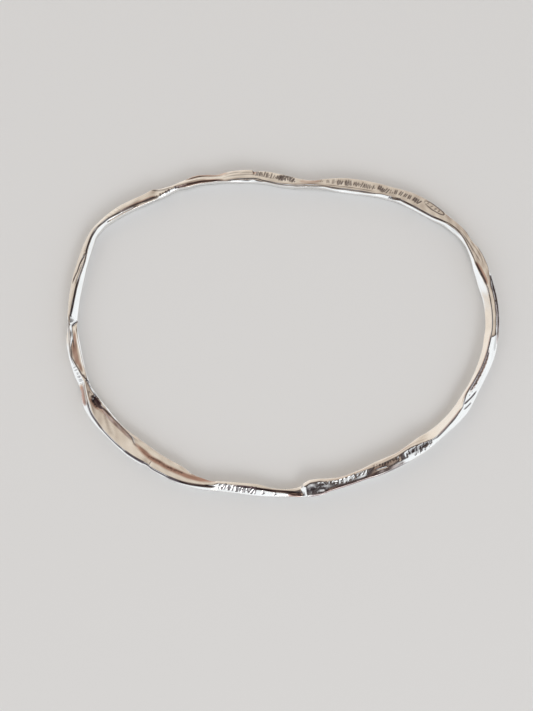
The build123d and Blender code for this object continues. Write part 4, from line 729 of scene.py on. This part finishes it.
# Rows of marks: name; spacing, size, stroke, depth and scatter in millimetres; tarnish; seed; and the path
ROWS = [
    ("far leaf, first run", 0.62, 0.72, 0.19, 0.03, 0.05, 0.9, 3,
     [(80.8, 0.02), (82.9, 0.03), (84.6, -0.06), (87, -0.14)]),
    ("far leaf, deep", 0.38, 0.8, 0.2, 0.035, 0.12, 1, 5,
     [(88.6, -0.2), (89.7, -0.18), (91, -0.1), (92.8, -0.14), (94, -0.34)]),
    ("far leaf, deep, outer side", 0.45, 0.5, 0.18, 0.03, 0.08, 0.95, 7,
     [(89.4, -0.02), (91, 0.06), (92.6, 0.02)]),
    ("far panel, faint", 0.8, 0.66, 0.15, 0.015, 0.05, 0.6, 8,
     [(104.4, -0.1), (106.6, -0.08), (108.8, -0.08)]),
    ("far panel, dark", 0.5, 0.84, 0.19, 0.03, 0.04, 0.95, 12, [(110.6, -0.1), (111.6, -0.1)]),
    ("far panel, darkest", 0.3, 1.05, 0.2, 0.035, 0.06, 1, 15, [(113.3, -0.06), (114, -0.06)]),
    ("far panel, first run", 0.66, 0.8, 0.18, 0.025, 0.05, 0.9, 13,
     [(116.2, -0.06), (118.3, -0.08), (120, -0.12), (122.2, -0.16)]),
    ("far panel, blot", 0.3, 0.72, 0.2, 0.03, 0.08, 1, 19, [(124, -0.05), (125.2, -0.18)]),
    ("far panel, second run", 0.8, 0.78, 0.17, 0.025, 0.05, 0.95, 21,
     [(126.3, -0.14), (128.2, -0.12), (130, 0), (133.5, -0.02)]),
    ("far panel, last", 0.3, 0.72, 0.2, 0.03, 0.08, 1, 24, [(135.2, 0), (136.6, -0.1)]),
    ("inside the plain oval", 0.75, 0.4, 0.12, 0.02, 0.04, 0.7, 25,
     [(139.2, 0.26), (141, 0.16), (143, 0.14)]),
    ("near panel, first patch", 0.62, 0.62, 0.15, 0.045, 0.06, 0, 4,
     [(219.8, 0.26), (222.1, 0.14), (224.4, 0.02), (227, -0.02)]),
    ("its outer row", 0.75, 0.4, 0.12, 0.04, 0.06, 0.3, 9, [(220.5, 0.56), (222.5, 0.52), (225.4, 0.42)]),
    ("near panel, bars", 0.85, 0.62, 0.16, 0.045, 0.04, 0.1, 6, [(228, 0.06), (230.6, 0.06)]),
    ("near panel, fine", 0.46, 0.4, 0.1, 0.015, 0.05, 0.7, 17,
     [(231.4, -0.05), (234, -0.08), (236.4, -0.2), (238.8, -0.3)]),
    ("near panel, flecks", 0.72, 0.55, 0.16, 0.05, 0.04, 0, 23,
     [(241.6, -0.06), (245.2, -0.1), (247.5, -0.04), (249.7, 0.03), (252.4, 0.02)]),
    ("near panel, last flecks", 0.6, 0.35, 0.13, 0.03, 0.06, 0, 27,
     [(253.2, -0.1), (255.6, -0.22), (258.2, -0.28)]),
    ("near panel, end", 0.42, 0.26, 0.11, 0.012, 0.16, 0.1, 31, [(256.4, 0.1), (259, 0.1), (261.6, 0.16)]),
    ("its second row", 0.48, 0.3, 0.11, 0.014, 0.12, 0.1, 33, [(255.2, 0.46), (258, 0.46), (261, 0.46)]),
    ("near leaf, first group", 0.5, 0.84, 0.2, 0.045, 0.05, 1, 37,
     [(291.2, 0.1), (289.1, 0.04), (287, 0.07)]),
    ("near leaf, second group", 0.54, 0.88, 0.2, 0.045, 0.05, 1, 41,
     [(285.4, 0.1), (283.4, 0.11), (281.6, 0.07), (279.6, 0.12)]),
    ("near leaf, pair", 1.3, 0.55, 0.16, 0.04, 0, 0.75, 2, [(276.9, 0.22), (274.6, 0.24), (273, 0.25)]),
    ("crossing facet", 0.62, 0.5, 0.13, 0.03, 0.06, 0.75, 44, [(348.4, 0.4), (345.8, 0.26), (343.4, 0.2)]),
    ("cross strokes", 0.34, 0.34, 0.11, 0.025, 0.05, 0.85, 47,
     [(345.4, -0.2), (344.2, -0.33), (342.8, -0.4)]),
    ("pit", 0.3, 0.36, 0.12, 0.035, 0.12, 0.97, 52, [(339, -0.26), (337.6, -0.42), (336.2, -0.52)]),
    ("pit, lower lobe", 0.34, 0.34, 0.13, 0.025, 0.1, 0.85, 55,
     [(338.6, -0.04), (337, -0.02), (335.6, -0.14)]),
    ("notch specks", 0.26, 0.3, 0.12, 0.03, 0.06, 0.9, 58, [(127.8, -0.78), (129.4, -0.71), (130.8, -0.64)]),
    ("knuckle specks", 0.55, 0.42, 0.13, 0.03, 0.05, 0.9, 61,
     [(47.4, -0.6), (49.2, -0.53), (51, -0.48), (52.8, -0.38), (56.4, -0.46)]),
    ("left pinch specks", 0.38, 0.3, 0.11, 0.045, 0.04, 0.1, 63,
     [(21, 0), (20.2, -0.14), (18.4, -0.1), (16.8, -0.02)]),
    ("foot of the short crease", 0.26, 0.3, 0.08, 0.02, 0.03, 0.5, 64,
     [(12.2, 0.32), (13.6, 0.21), (15.1, 0.12)]),
    ("wrinkles of the broad leaf", 0.34, 0.3, 0.09, 0.018, 0.08, 0.6, 66,
     [(303.5, -0.16), (306.5, -0.1), (309.5, -0.12), (312.5, -0.08), (314.5, -0.02)]),
    ("specks of the right side", 0.4, 0.28, 0.12, 0.03, 0.05, 0.8, 71,
     [(188.2, -0.05), (191.5, -0.14), (195.4, -0.2), (199.9, -0.26)]),
    ("bright flecks beside them", 0.8, 0.25, 0.12, 0.05, 0.05, 0, 72,
     [(189.8, -0.02), (194, -0.06), (198.5, -0.06), (201.5, -0.14)]),
    ("outer facet flecks", 0.6, 0.34, 0.13, 0.035, 0.05, 0.1, 74,
     [(171, 0.52), (174, 0.56), (178, 0.58), (183, 0.56)]),
]
paths = []
for name, *sizes, tarnished, seed, places_along in ROWS:
    line = smooth_line(places_along)
    path_mesh = bpy.data.meshes.new(name)
    steps = [(k, k + 1) for k in range(len(line) - 1)]
    path_mesh.from_pydata([(x, y, 0) for x, y in line.tolist()], steps, [])
    paths.append(bpy.data.objects.new(name, path_mesh))
    values = {"Path": paths[-1], "Punches": punches, "Tarnish": tarnished, "Seed": seed}
    values.update((socket, size / 1000) for socket, size in zip(IN_MILLIMETRES, sizes))
    modifier = band.modifiers.new(name, "NODES")
    modifier.node_group = striking
    for socket, value in values.items():
        modifier[identifiers[socket]] = value
evaluated = band.evaluated_get(bpy.context.evaluated_depsgraph_get())
finished = bpy.data.meshes.new_from_object(evaluated)
band.modifiers.clear()
band.data = finished
for path_object in paths:
    bpy.data.objects.remove(path_object)
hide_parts("bangle")
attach(band, "root")

# The table: a plain pale top under the bangle, which isn't part of it.
# It is one flat face, smooth but not glossy, and so large that its edges are out of sight from any side.
TABLE_HALF = 40.0
TABLE_PALE = (0.78, 0.77, 0.76, 1)
table_corners = [(x * TABLE_HALF, y * TABLE_HALF, 0) for x, y in ((-1, -1), (1, -1), (1, 1), (-1, 1))]
table_mesh = bpy.data.meshes.new("table")
table_mesh.from_pydata(table_corners, [], [(0, 1, 2, 3)])
table = bpy.data.objects.new("table", table_mesh)
bpy.context.scene.collection.objects.link(table)
table_top = bpy.data.materials.new("table_top")
table_top.use_nodes = True
top_shader = table_top.node_tree.nodes["Principled BSDF"]
top_shader.inputs["Base Color"].default_value = TABLE_PALE
top_shader.inputs["Roughness"].default_value = 0.45
table_mesh.materials.append(table_top)

# The studio: a warm ceiling, a dark band of room under it to the right and towards the camera, and bright
# windows below that. It is a sky of plain colours by direction.
SKY = [
    (0.05, (0.95, 0.92, 0.88)),
    (0.32, (0.92, 0.84, 0.75)),
    (0.50, (0.68, 0.60, 0.51)),
    (0.61, (0.36, 0.28, 0.23)),
    (0.655, (0.065, 0.05, 0.05)),
    (0.745, (0.065, 0.05, 0.05)),
    (0.79, (0.98, 1.03, 1.08)),
]
WINDOW_LIGHT = (0.98, 1.03, 1.08, 1)
world = bpy.data.worlds.new("studio")
bpy.context.scene.world = world
world.use_nodes = True
sky = world.node_tree
direction = add_node(sky, "ShaderNodeTexCoord")
split = add_node(sky, "ShaderNodeSeparateXYZ", {0: direction.outputs["Generated"]}).outputs


def sum_of(start, *terms):
    """Adds outputs, each times a number, to a start value."""
    total = start
    for output, factor in terms:
        node = add_node(sky, "ShaderNodeMath", {0: output, 1: factor, 2: total}, operation="MULTIPLY_ADD")
        total = node.outputs[0]
    return total


# How far a direction leans to the right or towards the camera picks the colour.
right_side = sum_of(0.12, (split["X"], 0.9), (split["Y"], -0.45))
near_side = sum_of(0.05, (split["Y"], -1.0))
side = add_node(sky, "ShaderNodeMath", {0: right_side, 1: near_side}, operation="MAXIMUM")
ramp = add_node(sky, "ShaderNodeValToRGB", {0: sum_of(0.5, (side.outputs[0], 0.5))})
while len(ramp.color_ramp.elements) < len(SKY):
    ramp.color_ramp.elements.new(0.5)
for stop, (spot, colour) in zip(ramp.color_ramp.elements, SKY):
    stop.position = spot
    stop.color = (*colour, 1)

# Two more windows: the eastward and northward reach over which each one fades in
WINDOWS = [
    ("low on the left, towards the camera", (-0.40, -0.65), (0.32, 0.12)),
    ("low at the far right", (0.38, 0.50), (0.60, 0.70)),
]
light = ramp.outputs[0]
for name, across, away in WINDOWS:
    fades = []
    for axis, (start, full) in (("X", across), ("Y", away)):
        reach_in = {"Value": split[axis], "From Min": start, "From Max": full}
        fades.append(add_node(sky, "ShaderNodeMapRange", reach_in).outputs[0])
    window = add_node(sky, "ShaderNodeMath", {0: fades[0], 1: fades[1]}, operation="MULTIPLY")
    layers = {"Factor": window.outputs[0], "A": light, "B": WINDOW_LIGHT}
    light = add_node(sky, "ShaderNodeMix", layers, data_type="RGBA", label=name).outputs["Result"]
sky.links.new(light, sky.nodes["Background"].inputs["Color"])

# The key light: a soft square lamp on the near side, turned towards the bangle
KEY_PLACE = (0.2, -0.6, 0.45)
KEY_REACH = 0.63  # its level distance from the bangle
key = bpy.data.lights.new("key", "AREA")
key.energy = 1.2
key.size = 0.3
key_object = bpy.data.objects.new("key", key)
key_object.location = KEY_PLACE
key_object.rotation_euler = (math.atan2(KEY_REACH, KEY_PLACE[2]), 0, math.atan2(KEY_PLACE[0], -KEY_PLACE[1]))
bpy.context.scene.collection.objects.link(key_object)

# The camera looks down at the photograph's angle, 75 degrees above the table, from the near side.
# It aims a little to the left of the loop's middle and towards itself, which sets the bangle in the frame.
ELEVATION, DISTANCE, LENS, SENSOR = math.radians(75), 0.2, 57.7, 36.0
AIM = (-0.00292, -0.00499, 0.001)
camera = bpy.data.cameras.new("camera")
camera.lens = LENS
camera.sensor_fit = "VERTICAL"
camera.sensor_height = SENSOR
camera.clip_start = 0.01
camera_object = bpy.data.objects.new("camera", camera)
camera_object.location = (
    AIM[0],
    AIM[1] - DISTANCE * math.cos(ELEVATION),
    AIM[2] + DISTANCE * math.sin(ELEVATION),
)
camera_object.rotation_euler = (math.radians(90) - ELEVATION, 0, 0)
bpy.context.scene.collection.objects.link(camera_object)
bpy.context.scene.camera = camera_object
bpy.context.scene.view_settings.view_transform = "Standard"
